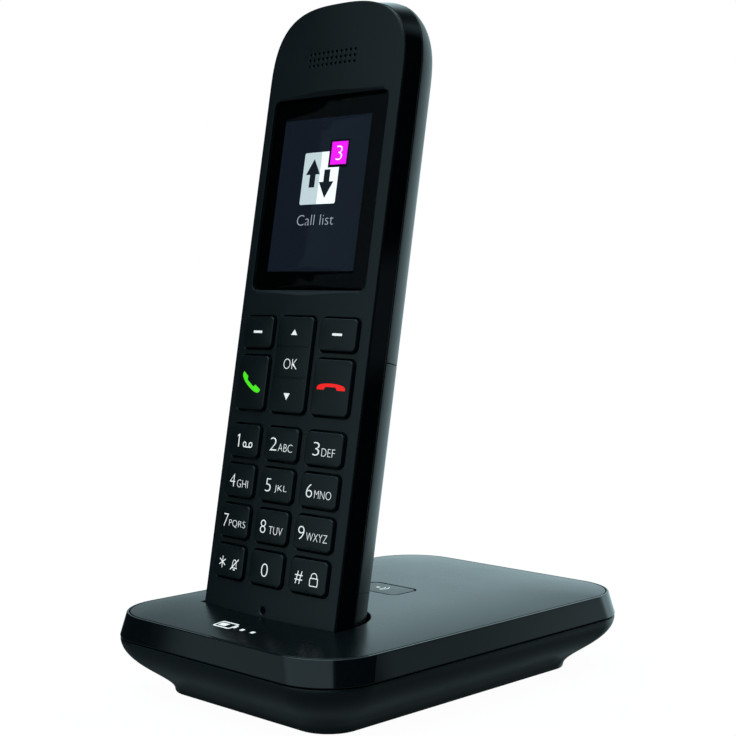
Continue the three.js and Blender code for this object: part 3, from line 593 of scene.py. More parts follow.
# All legend inks glow: painted light that brightens the print on the keys and on the base.
WHITE_GLOW_INK = painted_glow_ink("legend_white_painted_glow", (0.84, 0.84, 0.83), 0.72)
GREEN_GLOW_INK = painted_glow_ink("legend_green_painted_glow", (0.07, 0.76, 0.012), 0.75)
RED_GLOW_INK = painted_glow_ink("legend_red_painted_glow", (0.84, 0.012, 0.010), 0.8)
LIT_WHITE = lit("screen_white", (0.93, 0.95, 0.95))
LIT_GREY = lit("screen_grey", (0.52, 0.58, 0.58))
LIT_TEXT = lit("screen_text", (0.36, 0.38, 0.42))
LIT_DARK = lit("screen_dark", (0.008, 0.012, 0.017), 0.04, 0.7)
LIT_PINK = lit("screen_magenta", (0.85, 0.012, 0.82), 0.03, 0.9)
RUBBER = make_material("rubber", (0.011, 0.012, 0.013), 0.82, 0.5, 0.4, 0.2, 0.08)
BOARD = make_material("circuit_board", (0.02, 0.12, 0.055), 0.42, 0.9, 0.3, 0.25, 0.08)
STEEL = metal("brushed_steel", (0.55, 0.56, 0.57), 0.30, 0.25, 0.2, 0.06, stretch=(1, 12, 1))
GOLD = metal("contact_gold", (0.72, 0.49, 0.20), 0.26, 0.3, 0.15, 0.08)
JACKET = make_material("battery_jacket", (0.05, 0.18, 0.34), 0.34, 0.6, 0.1, 0.08, 0.05)
DARK = make_material("dark_plastic", (0.016, 0.018, 0.020), 0.5, 0.35, 0.2, 0.15, 0.06)


# ---- handset: face


def plate_back(u, v):
    """Back of the front plate: thin at its rim, thicker where it reaches inside the band."""
    half = HALF_WIDTH - RIM_WIDTH
    rise = TOP_V - RIM_WIDTH - SHOULDER_V
    share = max(1 - (abs(u) / half) ** TOP_ROUNDNESS, 0) ** (1 / TOP_ROUNDNESS)
    top = SHOULDER_V + rise * share
    bottom = BOTTOM_V + RIM_WIDTH + max(abs(u) - HALF_WIDTH + BOTTOM_R, 0) * 0.8
    return PLATE_BACK if abs(u) < half and bottom < v < top else FACE_RIM


def seen_in_face(node, hidden=0.0):
    """Middle (u, v) and half sizes of a node seen from the front, without its hidden edge."""
    low, high = local_box(node)
    middle = ((low[0] + high[0]) / 2, (low[2] + high[2]) / 2)
    return middle, (high[0] - low[0]) / 2 - hidden, (high[2] - low[2]) / 2 - hidden


def key_frame(node):
    return seen_in_face(node, FLANGE_OUT)


KEY_NODES = [node for node in frame["nodes"] if node.startswith("key_")]
KEY_NODES += ["soft_key_left", "soft_key_right", "talk_key", "end_key", "nav_rocker"]


def key_loop(node, base=0.0):
    middle, half_u, half_v = key_frame(node)
    return round_loop(half_u + base, half_v + base, KEY_R + base, 7, middle)


def lens_loop(base):
    middle, half_u, half_v = seen_in_face("display_window")
    return round_loop(half_u + base, half_v + base, LENS_R + base, 8, middle)


def hole_loop(r, centre, steps=12):
    return lambda grow: circle(r + grow, centre, steps)


def on_face(u, v, drop):
    return handset_point(u, face_depth(u) + drop, v)


def make_face():
    """The face, each hole given with the rounding of its rim."""
    holes = [(key_loop(node, KEY_GAP), KEY_RIM) for node in KEY_NODES]
    holes.append((lens_loop(0.12), 0.12))
    for v in EAR_ROWS:
        for i in range(EAR_COUNT):
            u = (i - (EAR_COUNT - 1) / 2) * EAR_PITCH
            holes.append((hole_loop(EAR_R, (u, v)), 0.1))
    holes.append((hole_loop(MIC_R, (0, MIC_V), 24), MIC_RIM))
    edge = (lambda grow: band_outline(-grow), FACE_EDGE)
    under = lambda u, v: handset_point(u, plate_back(u, v), v)
    skin, _ = plate(edge, holes, on_face, under, 2.2)
    piece("handset_face", skin.solid(), "handset", FACE, ["handset_front_shell"])


def make_handset_band():
    """Gloss band round the handset, its edges slightly rounded."""
    profile = band_profile(BAND_FRONT, BAND_BACK, 0.18)
    profile += [(BAND_BACK, BAND_WALL), (BAND_FRONT, BAND_WALL)]
    rings = []
    for depth, inset in profile:
        rings.append([handset_point(u, depth, v) for u, v in band_outline(inset, depth)])
    shape = loft(rings, loop=True)
    piece("handset_band", shape, "handset", BAND, ["handset_trim_band"])


def round_inset(r, full, depth):
    along = depth - (full - r)
    return 0 if along <= 0 else r - math.sqrt(max(r * r - along * along, 0))


def rear_body(side_wall, back_wall, rim=0.0, steps=20):
    """The rear shell from the band backwards, rounding in to the flat of the back.

    With a rim it is the outside. Without one it is the hollow, which starts 1 mm further forward."""
    full = REAR_DEPTH - back_wall
    r = REAR_R - back_wall
    start = math.asin((REAR_FRONT - (full - r)) / r)
    stations = [(REAR_FRONT, rim), (REAR_FRONT + rim * 0.4, rim * 0.2)] if rim else []
    for i in range(steps + 1):
        turn = start + (math.pi / 2 - start) * i / steps
        depth = full - r + r * math.sin(turn)
        stations.append((max(depth, REAR_FRONT + rim), 0))
    rings = []
    for depth, extra in stations:
        inset = side_wall + extra + round_inset(r, full, depth)
        low = side_wall + extra + round_inset(REAR_BOTTOM_R - back_wall, full, depth)
        corner = max(BOTTOM_R - inset * 0.45, 1.5)
        pairs = handset_outline(HALF_WIDTH - inset, top_at(depth) - inset, BOTTOM_V + low, corner)
        rings.append([handset_point(u, depth, v) for u, v in pairs])
    if not rim:
        forward = (REAR_FRONT - 1 - stations[0][0]) * INTO
        rings[0] = [tuple(np.array(p) + forward) for p in rings[0]]
    return loft(rings)


def wide(low, high):
    """A block right across the back of the handset, between two heights."""
    return block((-30, 5, low), (30, 30, high), handset_point)


def make_rear():
    """Rear shell with its chassis, battery tray and slots, and the battery cover."""
    inner = rear_body(REAR_SIDE_WALL, REAR_WALL)
    outer = rear_body(0, 0, REAR_RIM)
    shell = mesh_object("rear_shell", *outer)
    cover = mesh_object("cover_shell", *outer)
    combine(cover, "DIFFERENCE", inner)
    combine(cover, "INTERSECT", wide(*COVER))
    finish_piece(cover, "battery_cover", SATIN, ["battery_cover"])

    def within_rear(shape):
        """What another shape and the full rear body have in common."""
        common = mesh_object("common", *outer)
        combine(common, "INTERSECT", shape)
        return shape_of(common)

    below, above = COVER[0] - LOW_SEAM_GAP, COVER[1] + SEAM_GAP
    combine(shell, "DIFFERENCE", inner, wide(below, above))
    ends = [within_rear(wide(above, above + END_WALL)), within_rear(wide(below - END_WALL, below))]
    combine(shell, "UNION", *ends)
    low, high = COVER[0] - CHASSIS_OVER, COVER[1] + CHASSIS_OVER
    chassis = block((-CHASSIS_HALF, CHASSIS_FRONT, low), (CHASSIS_HALF, CHASSIS_BACK, high), handset_point)
    combine(shell, "UNION", chassis, block(*TRAY, handset_point))
    combine(shell, "DIFFERENCE", block(*TRAY_HOLLOW, handset_point))
    for side in (-1, 1):
        screw_u = side * SCREW_U
        at_screw = lambda a, b, depth, u=screw_u: handset_point(u + a, depth, SCREW_V + b)
        boss = within_rear(rod(BOSS_R, REAR_FRONT, REAR_DEPTH - 0.8, at_screw))
        shank, head = rod(1.15, 4, 12, at_screw), rod(2.2, SCREW_SEAT, 30, at_screw)
        pad_u = side * CONTACT_U
        pad_slot = block((pad_u - 3.3, 7.7, -19), (pad_u + 3.3, 13.3, -14.8), handset_point)
        combine(shell, "UNION", boss)
        combine(shell, "DIFFERENCE", shank, head, pad_slot)
    for i in range(SLOT_COUNT):
        v = LOUDSPEAKER_V + (i - (SLOT_COUNT - 1) / 2) * SLOT_PITCH
        slot = rounded_rect(SLOT_HALF, 0.6, 0.58, 6, (0, v))
        rings = [[handset_point(a, depth, b) for a, b in slot] for depth in (15, 25)]
        combine(shell, "DIFFERENCE", loft(rings))
    finish_piece(shell, "handset", SATIN, ["handset_rear_shell"])


# ---- handset: keys


def groove(v):
    """Depth of the shallow lines across the navigation key."""
    return sum(0.14 * max(1 - abs(v - line) / GROOVE_HALF, 0) for line in NAV_GROOVES)


def key_top(node):
    """place(u, v) on a cap's top, which swells in the middle."""
    middle, half_u, half_v = key_frame(node)
    shoulder = KEY_SIDE + KEY_FILLET

    def place(u, v):
        a = min(abs(u - middle[0]) / (half_u - KEY_FILLET), 1)
        b = min(abs(v - middle[1]) / (half_v - KEY_FILLET), 1)
        rise = shoulder + (KEY_MIDDLE - shoulder) * (1 - a**2.6) * (1 - b**2.6)
        cut = groove(v) if node == "nav_rocker" else 0
        return handset_point(u, face_depth(u) - rise + cut, v)

    return place


def make_key(node):
    middle, half_u, _ = key_frame(node)
    back = local_box(node)[1][1]
    loop = key_loop(node)
    skirt = ((FLANGE_OUT, back), (FLANGE_OUT, back - FLANGE_THICK), (0.0, back - FLANGE_THICK))
    rings = [[handset_point(u, depth, v) for u, v in loop(grow)] for grow, depth in skirt]
    for inset, drop in rounded_edge(KEY_FILLET, 5):
        rise = KEY_SIDE + KEY_FILLET - drop
        rings.append([handset_point(u, face_depth(u) - rise, v) for u, v in loop(-inset)])
    points, faces = loft(rings)
    faces = [f for f in faces if len(points) - 1 not in f]  # the swelling top replaces the last fan
    points.pop()

    extra = []
    if node == "nav_rocker":
        reach = half_u - KEY_FILLET
        columns = np.arange(-reach + 0.4, reach - 0.3, 0.5)
        for line in NAV_GROOVES:
            for off in (-GROOVE_HALF, 0, GROOVE_HALF):
                extra += [(u, line + off) for u in columns + middle[0]]
    flat, triangles, _ = fill([loop(-KEY_FILLET)], 0.8, extra)
    top, start = key_top(node), len(points)
    points += [top(u, v) for u, v in flat]
    faces += [tuple(i + start for i in t) for t in triangles]
    return piece("cap_" + node, (points, faces), node, KEYS, [node])


# ---- legends and screen


def text_mesh(text, u0, u1, v0, v1, thin=-0.02):
    """Flat letters fitted to a box, as a bmesh with u and v in x and y."""
    curve = bpy.data.curves.new("text", "FONT")
    curve.body, curve.offset, curve.resolution_u = text, thin, 5
    thing = new_object("text", curve)
    mesh = evaluated_mesh(thing)
    build = bmesh.new()
    build.from_mesh(mesh)
    bpy.data.objects.remove(thing)
    bpy.data.curves.remove(curve)
    bpy.data.meshes.remove(mesh)
    places = np.array([v.co[:2] for v in build.verts])
    low, high = places.min(0), places.max(0)
    for v in build.verts:
        v.co.x = u0 + (v.co.x - low[0]) / (high[0] - low[0]) * (u1 - u0)
        v.co.y = v0 + (v.co.y - low[1]) / (high[1] - low[1]) * (v1 - v0)
    return build


def shape_mesh(solid, holes=(), spacing=0.7):
    """Flat shape with holes, as a bmesh with u and v in x and y."""
    points, triangles, _ = fill([solid, *holes], spacing)
    build = bmesh.new()
    corners = [build.verts.new((a, b, 0)) for a, b in points]
    for triangle in triangles:
        build.faces.new([corners[i] for i in triangle])
    return build


def decal(name, shapes, place, body, material, thick=0.06, proud=0.018, cell=0.7):
    """Thin closed print following a surface. place(u, v, rise) is the point rise above it."""
    points, faces = [], []
    for build in shapes:
        bmesh.ops.triangulate(build, faces=build.faces)
        flat = np.array([v.co[:2] for v in build.verts])
        for axis in (0, 1):
            low, high = flat[:, axis].min(), flat[:, axis].max()
            for cut in np.arange(low + cell, high, cell):
                at, normal = [0, 0, 0], [0, 0, 0]
                at[axis], normal[axis] = cut, 1
                everything = [*build.verts, *build.edges, *build.faces]
                bmesh.ops.bisect_plane(build, geom=everything, plane_co=at, plane_no=normal)
        bmesh.ops.remove_doubles(build, verts=build.verts, dist=1e-4)
        build.verts.index_update()
        skin = Skin()
        flat = [tuple(v.co[:2]) for v in build.verts]
        skin.add([place(a, b, proud) for a, b in flat], [place(a, b, proud - thick) for a, b in flat])
        skin.faces = [tuple(v.index for v in f.verts) for f in build.faces]
        more, sides = skin.solid()
        faces += [tuple(i + len(points) for i in f) for f in sides]
        points += more
        build.free()
    return piece(name, (points, faces), body, material, angle=50)


def cast_place(thing, start, direction):
    """place(a, b, rise) on an object's surface, found by a ray from start(a, b)."""
    tree = BVHTree.FromObject(thing, bpy.context.evaluated_depsgraph_get())

    def place(a, b, rise):
        hit = tree.ray_cast(Vector(start(a, b)) * MM, Vector(direction))[0]
        return tuple(np.array(hit) / MM - rise * np.array(direction))

    return place


def on_key(cap):
    return cast_place(cap, lambda u, v: handset_point(u, -8, v), INTO)


def bar(u0, u1, v0, v1):
    return [(u0, v0), (u1, v0), (u1, v1), (u0, v1)]


def receiver(centre, width, height, turn):
    """Outline of a telephone receiver lying on its hook, turned about its middle."""
    half = width / 2
    over = [(half * math.cos(t), height * math.sin(t) ** 0.55) for t in arc(4, 176, 18)]
    right = [(0.34, 0.46), (0.41, 0.3), (0.46, 0.0), (0.98, 0.0)]
    left = [(-a, b) for a, b in reversed(right)]
    under = [(a * half, b * height) for a, b in left + right]
    c, s = math.cos(math.radians(turn)), math.sin(math.radians(turn))
    moved = []
    for a, b in over + under:
        b -= height / 2
        moved.append((centre[0] + c * a - s * b, centre[1] + s * a + c * b))
    return moved


def slanted(start, end, width):
    """A straight stroke between two points."""
    (a0, b0), (a1, b1) = start, end
    length = math.hypot(a1 - a0, b1 - b0)
    da, db = -(b1 - b0) / length * width / 2, (a1 - a0) / length * width / 2
    return [(a0 - da, b0 - db), (a1 - da, b1 - db), (a1 + da, b1 + db), (a0 + da, b0 + db)]


DIGIT_DROP = 5.9  # from a cap's top edge down to the foot of its digit
LOW_FOOT = 0.25  # how much lower the print of the bottom row stands
DIGIT_HIGH = 3.3
LETTER_HIGH = 1.95
# Digit, its left and right edges, letters, and their left and right edges.
LEGENDS = {
    "key_2": ("2", -3.7, -1.07, "ABC", -0.5, 4.5),
    "key_3": ("3", 11.55, 13.7, "DEF", 14.5, 18.6),
    "key_4": ("4", -18.1, -15.8, "GHI", -14.86, -10.45),
    "key_5": ("5", -3.5, -1.4, "JKL", 0.07, 4.3),
    "key_6": ("6", 11.0, 13.1, "MNO", 13.85, 19.05),
    "key_7": ("7", -18.75, -16.7, "PQRS", -16.1, -9.5),
    "key_8": ("8", -3.5, -1.4, "TUV", -0.15, 4.6),
    "key_9": ("9", 9.95, 12.15, "WXYZ", 12.85, 19.45),
    "key_0": ("0", -1.1, 1.3, None, 0, 0),
}


def key_foot(node):
    """Height of the foot of a key's legend."""
    middle, _, half_v = key_frame(node)
    low_row = node in ("key_star", "key_0", "key_hash")
    return middle[1] + half_v - DIGIT_DROP - (LOW_FOOT if low_row else 0)


def one_and_tape():
    """The digit one, and the two joined reels of a message tape."""
    foot, left, right = key_foot("key_1"), -13.78, -11.38
    one = [(-16.55, 0), (-16.15, 0), (-16.15, 3.3), (-16.5, 3.3), (-17.05, 2.95)]
    one += [(-17.05, 2.6), (-16.55, 2.88)]
    shapes = [shape_mesh([(u, foot + v) for u, v in one], (), 0.5)]
    for u in (left, right):
        reel = (u, foot + 0.75)
        shapes.append(shape_mesh(circle(0.75, reel), [circle(0.47, reel)]))
    shapes.append(shape_mesh(bar(left, right, foot, foot + 0.28)))
    return shapes


def star_and_bell():
    """A star of six arms, and a bell struck through."""
    foot, star_u, bell_u, arm = key_foot("key_star"), -16.85, -11.76, 1.5
    shapes = []
    for turn in arc(30, 150, 2):
        da, db = arm * math.cos(turn), arm * math.sin(turn)
        middle_v = foot + 1.65
        ends = (star_u - da, middle_v - db), (star_u + da, middle_v + db)
        shapes.append(shape_mesh(slanted(*ends, 0.26)))
    half = [(0, 2.8), (0.45, 2.6), (0.8, 1.9), (0.85, 0.95), (1.25, 0.5)]
    bell = [(-a, b) for a, b in reversed(half[1:])] + half
    outline = [(bell_u + a, foot + b) for a, b in bell]
    core = [(bell_u + a * 0.76, foot + 0.72 + (b - 0.5) * 0.80) for a, b in bell]
    shapes.append(shape_mesh(outline, [core], 0.5))
    shapes.append(shape_mesh(bar(bell_u - 0.35, bell_u + 0.35, foot, foot + 0.28)))
    shapes.append(shape_mesh(slanted((bell_u - 1.5, foot + 0.1), (bell_u + 1.5, foot + 2.9), 0.26)))
    return shapes


def hash_and_lock():
    """The hash sign and a padlock."""
    foot, lock_u = key_foot("key_hash"), 16.95
    case = (lock_u, foot + 0.95)

    def hoop(r, turns):
        return [(lock_u + r * math.cos(t), foot + 2.25 + r * math.sin(t)) for t in turns]

    out, back, leg = 1.0, 0.79, foot + 2.0
    shackle = hoop(out, arc(0, 180, 10)) + [(lock_u - out, leg), (lock_u - back, leg)]
    shackle += hoop(back, arc(180, 0, 10)) + [(lock_u + back, leg), (lock_u + out, leg)]
    return [
        text_mesh("#", 10.75, 13.35, foot, foot + 3.1, -0.008),
        shape_mesh(rounded_rect(1.3, 1.05, 0.3, 3, case), [rounded_rect(1.08, 0.83, 0.16, 3, case)]),
        shape_mesh(shackle, (), 0.4),
    ]


# Key legends are printed in inks whose glow is painted light.
def make_legends(caps):
    for node, (digit, u0, u1, letters, w0, w1) in LEGENDS.items():
        foot = key_foot(node)
        shapes = [text_mesh(digit, u0, u1, foot, foot + DIGIT_HIGH)]
        if letters:
            shapes.append(text_mesh(letters, w0, w1, foot, foot + LETTER_HIGH))
        print_on(caps, node, shapes)
    print_on(caps, "key_1", one_and_tape())
    print_on(caps, "key_star", star_and_bell())
    print_on(caps, "key_hash", hash_and_lock())
    for node, u0, u1 in (("soft_key_left", -15.95, -12.4), ("soft_key_right", 13.25, 16.4)):
        dash = rounded_rect((u1 - u0) / 2, 0.3, 0.15, 3, ((u0 + u1) / 2, 63.65))
        print_on(caps, node, [shape_mesh(dash)])
    nav = [
        shape_mesh([(-1.0, 63.1), (1.2, 63.1), (0.1, 64.5)]),
        shape_mesh([(-1.0, 48.35), (0.1, 46.65), (1.2, 48.35)]),
        text_mesh("OK", -2.35, 2.55, 54.45, 57.05),
    ]
    print_on(caps, "nav_rocker", nav)
    print_on(caps, "talk_key", [shape_mesh(receiver((-14.65, 50.2), 8.9, 1.9, 149))], GREEN_GLOW_INK)
    print_on(caps, "end_key", [shape_mesh(receiver((14.75, 50.75), 9.1, 1.6, 0))], RED_GLOW_INK)


def print_on(caps, node, shapes, painted_glow_ink=WHITE_GLOW_INK):
    """Print the legend of a key on its cap."""
    decal("legend_" + node, shapes, on_key(caps[node]), node, painted_glow_ink)


def make_display():
    """Window, its black mask, the lit panel behind it, and the picture as thin closed prints."""
    back = LENS_SUNK + LENS_THICK
    middle = (LIT["u"], (LIT["low"] + LIT["high"]) / 2)
    half_v = (LIT["high"] - LIT["low"]) / 2

    def slab(name, edge, front, rear, material, holes=(), replaced=()):
        surface = lambda u, v, drop: handset_point(u, face_depth(u) + front + drop, v)
        under = lambda u, v: handset_point(u, face_depth(u) + rear, v)
        skin, _ = plate(edge, holes, surface, under, 2.5, 3)
        piece(name, skin.solid(), "handset", material, replaced)

    def lit_loop(grow):
        return rounded_rect(LIT["half_u"] + grow, half_v + grow, 0.15 + max(grow, 0), 2, middle)

    lens, mask, opening = (lens_loop(0), 0.12), (lens_loop(-0.05), 0.02), (lit_loop, 0.02)
    slab("window", lens, LENS_SUNK, back, GLASS, replaced=["display_window"])
    slab("window_mask", mask, back + 0.03, back + 0.2, MASK, [opening])
    panel = (lambda grow: lit_loop(grow + 0.3), 0.05)
    slab("screen", panel, back + 0.22, back + 1.4, SCREEN, replaced=["lcd_panel"])

    def show(name, shapes, material, rise=0.0):
        depth = back + 0.21 - rise
        place = lambda u, v, more: handset_point(u, face_depth(u) + depth - more, v)
        decal("screen_" + name, shapes, place, "handset", material, 0.012, 0.012, 3.0)

    left, split, right, foot, head = -6.63, -0.28, 6.27, 97.0, 110.5
    tile_middle = ((left + right) / 2, (foot + head) / 2)
    tile = rounded_rect((right - left) / 2, (head - foot) / 2, 0.5, 4, tile_middle)
    grey = [(split, head), *tile[5:15], (split, foot)]
    white = [(split, foot), *tile[15:], *tile[:5], (split, head)]
    show("tile_left", [shape_mesh(grey, (), 3)], LIT_GREY)
    show("tile_right", [shape_mesh(white, (), 3)], LIT_WHITE)
    arrows = []
    for u, tail, barb, tip in ((-2.83, 101.4, 104.75, 108.8), (2.37, 105.85, 102.7, 98.45)):
        half = [(1.05, tail), (1.05, barb), (2.6, barb)]
        outline = [(u + a, v) for a, v in half] + [(u, tip)] + [(u - a, v) for a, v in half[::-1]]
        arrows.append(shape_mesh(outline, (), 3))
    show("arrows", arrows, LIT_DARK, 0.015)
    show("badge_edge", [shape_mesh(bar(2.3, 8.95, 106.3, 113.4), (), 3)], MASK, 0.015)
    show("badge", [shape_mesh(bar(3.0, 8.5, 107.0, 112.9), (), 3)], LIT_PINK, 0.03)
    show("badge_count", [text_mesh("3", 4.75, 6.85, 108.1, 111.8)], LIT_WHITE, 0.045)
    show("label", [text_mesh("Call list", -6.7, 6.65, 91.6, 94.3)], LIT_TEXT)


# ---- base


def base_ring(z, inset):
    """Ring of the gloss band: it leans in from the seam to the top edge."""
    t = (z - SEAM_Z) / (TOP_Z - SEAM_Z)
    half_x, half_y = SEAM_X + (TOP_X - SEAM_X) * t, SEAM_Y + (TOP_Y - SEAM_Y) * t
    r = CORNER_SEAM + (CORNER_TOP - CORNER_SEAM) * t
    pairs = rounded_rect(half_x - inset, half_y - inset, r - inset, 16)
    return [(x, y, z) for x, y in pairs]


def make_base_band():
    profile = band_profile(SEAM_Z, TOP_Z, BAND_EDGE)
    profile += [(TOP_Z, BAND_RIM), (LEDGE_Z, BAND_RIM), (LEDGE_Z, 3.0), (SEAM_Z, 2.4)]
    shape = loft([base_ring(z, inset) for z, inset in profile], loop=True)
    piece("base_band", shape, "base", GLOSS, ["base_trim_band"])


def dome(x, y):
    """Height of the crowned top face."""
    inset = BAND_RIM + BASE_GAP
    hx, hy, r = TOP_X - inset, TOP_Y - inset, CORNER_TOP - inset
    x, y = abs(x), abs(y)
    cx, cy = hx - r, hy - r
    if x * cy >= y * hx:
        scale = x / hx
    elif y * cx >= x * hy:
        scale = y / hy
    else:
        a, b, c = x * x + y * y, -2 * (x * cx + y * cy), cx * cx + cy * cy - r * r
        scale = 2 * a / (-b + math.sqrt(max(b * b - 4 * a * c, 0)))
    return TOP_Z + DOME_RISE * (1 - min(scale, 1.2) ** 4)


def pocket_plan(grow):
    """Plan of the cradle pocket in (u, depth): crowned front, rounded rear corners."""
    half = POCKET["half"] + grow
    back, r = POCKET["back"] + grow, POCKET["r"] + grow
    pairs = []
    for i in range(25):
        u = -half + 2 * half * i / 24
        pairs.append((u, face_depth(u) - POCKET["front"] - grow))
    for side, start in ((1, 0), (-1, 90)):
        for t in arc(start, start + 90, 10):
            pairs.append((side * (half - r) + r * math.cos(t), back - r + r * math.sin(t)))
    return pairs


def up_to_dome(u, depth):
    """Distance v at which the line along the handset meets the crowned top."""
    v = -8.0
    for _ in range(6):
        x, y, z = handset_point(u, depth, v)
        v += (dome(x, y) - z) / ALONG[2]
    return v


def pocket_loop(grow):
    return [handset_point(u, d, up_to_dome(u, d))[:2] for u, d in pocket_plan(grow)]


def page_loop(base):
    """Outline of the paging button's cap, inside its hidden flange."""
    low, high = box_mm("page_button")
    half_x, half_y = (high[:2] - low[:2]) / 2 - FLANGE_OUT + base
    return round_loop(half_x, half_y, PAGE_R + base, 8, plan_middle("page_button"))


def make_base_top():
    """Crowned top with the cradle pocket and the paging button's opening, and the cradle's floor."""
    inset = BAND_RIM + BASE_GAP
    outline = round_loop(TOP_X - inset, TOP_Y - inset, CORNER_TOP - inset, 16, (0, 0))
    holes = [(pocket_loop, POCKET["lip"]), (page_loop(PAGE_GAP), 0.05)]
    surface = lambda x, y, drop: (x, y, dome(x, y) - drop)
    under = lambda x, y: (x, y, dome(x, y) - TOP_WALL)
    skin, rings = plate((outline, 0.2), holes, surface, under, 2.6, 5)

    # The cradle walls run down along the handset, with their own hidden side.
    walls, hidden = pocket_plan(0), pocket_plan(POCKET["lip"])
    level = POCKET["floor"]
    for k, ring in enumerate(rings[1][1:], 1):
        for i, (u, depth) in zip(ring, hidden):
            skin.inner[i] = handset_point(u, depth, up_to_dome(u, depth) - TOP_WALL - 0.3 * k)
    foot = skin.add(*([handset_point(*p, level - 0.3) for p in plan] for plan in (walls, hidden)))
    skin.bridge(rings[1][-1], foot)
    top = piece("base_top", skin.solid(), "base", TOP, ["base_top_shell"])

    slots = [(side * CONTACT_U, CONTACT_DEPTH) for side in (-1, 1)]
    skin, _ = plate(
        (lambda grow: pocket_plan(grow - 0.04), 0.03),
        [(round_loop(1.3, 2.3, 0.3, 4, slot), 0.15) for slot in slots],
        lambda u, depth, drop: handset_point(u, depth, level - drop),
        lambda u, depth: handset_point(u, depth, level - TOP_WALL),
        3.0,
        3,
    )
    piece("cradle_floor", skin.solid(), "base", SATIN)
    return top


def bezier(points, t):
    a, b, c, d = (np.array(p) for p in points)
    s = 1 - t
    return a * s**3 + 3 * b * s * s * t + 3 * c * s * t * t + d * t**3


def tucked_ring(inset, z):
    r = max(CORNER_SEAM - inset * CORNER_LOSS, 1)
    return [(x, y, z) for x, y in rounded_rect(SEAM_X - inset, SEAM_Y - inset, r, 16)]


def upright(node):
    """place(a, b, height) round the vertical line through the middle of a node."""
    x, y = plan_middle(node)
    return lambda a, b, z: (x + a, y + b, z)


def make_base_bottom():
    """Lower shell with its bay, screw posts and recesses for the feet."""
    top_z = TUCK[0][1]
    outside = [bezier(TUCK, i / 44) for i in range(45)]
    lip = [(0.55, top_z), (0.28, top_z), (0.16, top_z - 0.1)]
    foot_inset, foot_z = TUCK[3][0] + 0.4, 0.1
    outer = [*lip, *outside[1:], (foot_inset - 0.28, foot_z + 0.12), (foot_inset, foot_z)]
    inner = [(TUCK[0][0] + SHELL_WALL, top_z + 1)]
    inner += [(i + SHELL_WALL, z) for i, z in outside if z > FLOOR_Z]
    inner.append((foot_inset + SHELL_WALL, FLOOR_Z))
    solid, hollow = (loft([tucked_ring(i, z) for i, z in profile]) for profile in (outer, inner))
    body = mesh_object("base_bottom", *solid)
    combine(body, "DIFFERENCE", hollow)
    add_bay(body, solid, top_z)
    for number in range(1, 5):
        here = upright(f"base_screw_{number}")
        combine(body, "UNION", rod(POST_R, FLOOR_Z - 1, POST_TOP, here))
        shank, head = rod(1.4, -1, POST_TOP + 1, here), rod(2.8, -1, 2.6, here)
        combine(body, "DIFFERENCE", shank, head)
    for place in FEET:
        recess = rod(FOOT_RECESS_R, -1, FOOT_RECESS_Z, upright("foot_pad_" + place), 48)
        combine(body, "DIFFERENCE", recess)
    finish_piece(body, "base", SATIN, ["base_lower_shell"])


def add_bay(body, solid, top_z):
    """The recessed bay at the back, with the openings of its two sockets in its panel."""
    (x0, z0), (x1, z1) = BAY
    edge, wall = 1.4, 1.6
    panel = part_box("line_socket")[1][1] / MM + 0.3
    housing = mesh_object("housing", *solid)
    around = block((x0 - edge, panel, z0 - edge), (x1 + edge, SEAM_Y + 5, top_z - 0.02))
    combine(housing, "INTERSECT", around)
    combine(body, "UNION", shape_of(housing))
    plate_high = (x1 + edge, panel + wall, top_z - 0.03)
    combine(body, "UNION", block((x0 - edge, panel, FLOOR_Z - 0.5), plate_high))
    mouth = rounded_rect((x1 - x0) / 2, (z1 - z0) / 2, 1.0, 6, ((x1 + x0) / 2, (z1 + z0) / 2))
    combine(body, "DIFFERENCE", loft([[(x, y, z) for x, z in mouth] for y in (panel + wall, 80)]))
    line_x, dc_x = plan_middle("line_socket")[0], plan_middle("dc_inlet")[0]
    half, low, high = LINE_HOLE
    line_hole = block((line_x - half, panel - 1, low), (line_x + half, panel + 4, high))
    r, middle_z = DC_HOLE
    dc_hole = rod(r, panel - 1, panel + 4, lambda a, b, y: (dc_x + a, y, middle_z + b))
    combine(body, "DIFFERENCE", line_hole, dc_hole)


def make_feet():
    """Turned rubber feet, slightly hollow underneath."""
    for place in FEET:
        node = "foot_pad_" + place
        low, high = box_mm(node)
        r, here = (high[0] - low[0]) / 2, upright(node)
        profile = [(0.6, 0.18), (r - 1.7, 0.18), (r - 1.5, 0.0), (r - 0.45, 0.0)]
        profile += [(r - 0.45 + 0.45 * math.sin(t), 0.45 * (1 - math.cos(t))) for t in arc(15, 90, 5)]
        profile += [(r, high[2] - 0.1), (r - 0.1, high[2])]
        rings = [[here(a, b, z) for a, b in circle(radius, (0, 0), 40)] for radius, z in profile]
        piece("foot_" + place, loft(rings), "base", RUBBER, [node])


def make_page_button():
    """Paging button, dished slightly, with a dot and two waves on it."""
    loop, r = page_loop(0), 0.08
    top_z, swell = box_mm("page_button")[1][2], 0.06
    centre_y = plan_middle("page_button")[1]
    levels = [(FLANGE_OUT, 20.8), (FLANGE_OUT, 21.25), (0, 21.25)]
    levels += [(-inset, top_z - swell - drop) for inset, drop in rounded_edge(r)]
    rings = [[(x, y, z) for x, y in loop(grow)] for grow, z in levels]
    for scale in (0.75, 0.45):
        z = top_z - swell * scale**2
        rings.append([(x * scale, (y - centre_y) * scale + centre_y, z) for x, y in loop(-r)])
    button = piece("page_cap", loft(rings), "page_button", SATIN, ["page_button"])

    def wave(radius, turns):
        return [(-1.6 + radius * math.cos(t), centre_y + radius * math.sin(t)) for t in turns]

    shapes = [shape_mesh(circle(0.55, (-2.2, centre_y)))]
    for radius in (1.5, 2.6):
        outer = wave(radius + 0.16, arc(-48, 48, 10))
        shapes.append(shape_mesh(outer + wave(radius - 0.16, arc(48, -48, 10))))
    place = cast_place(button, lambda x, y: (x, y, 40), (0, 0, -1))
    # The dot and waves are printed in white ink whose glow is painted light.
    decal("legend_page", shapes, place, "page_button", WHITE_GLOW_INK)


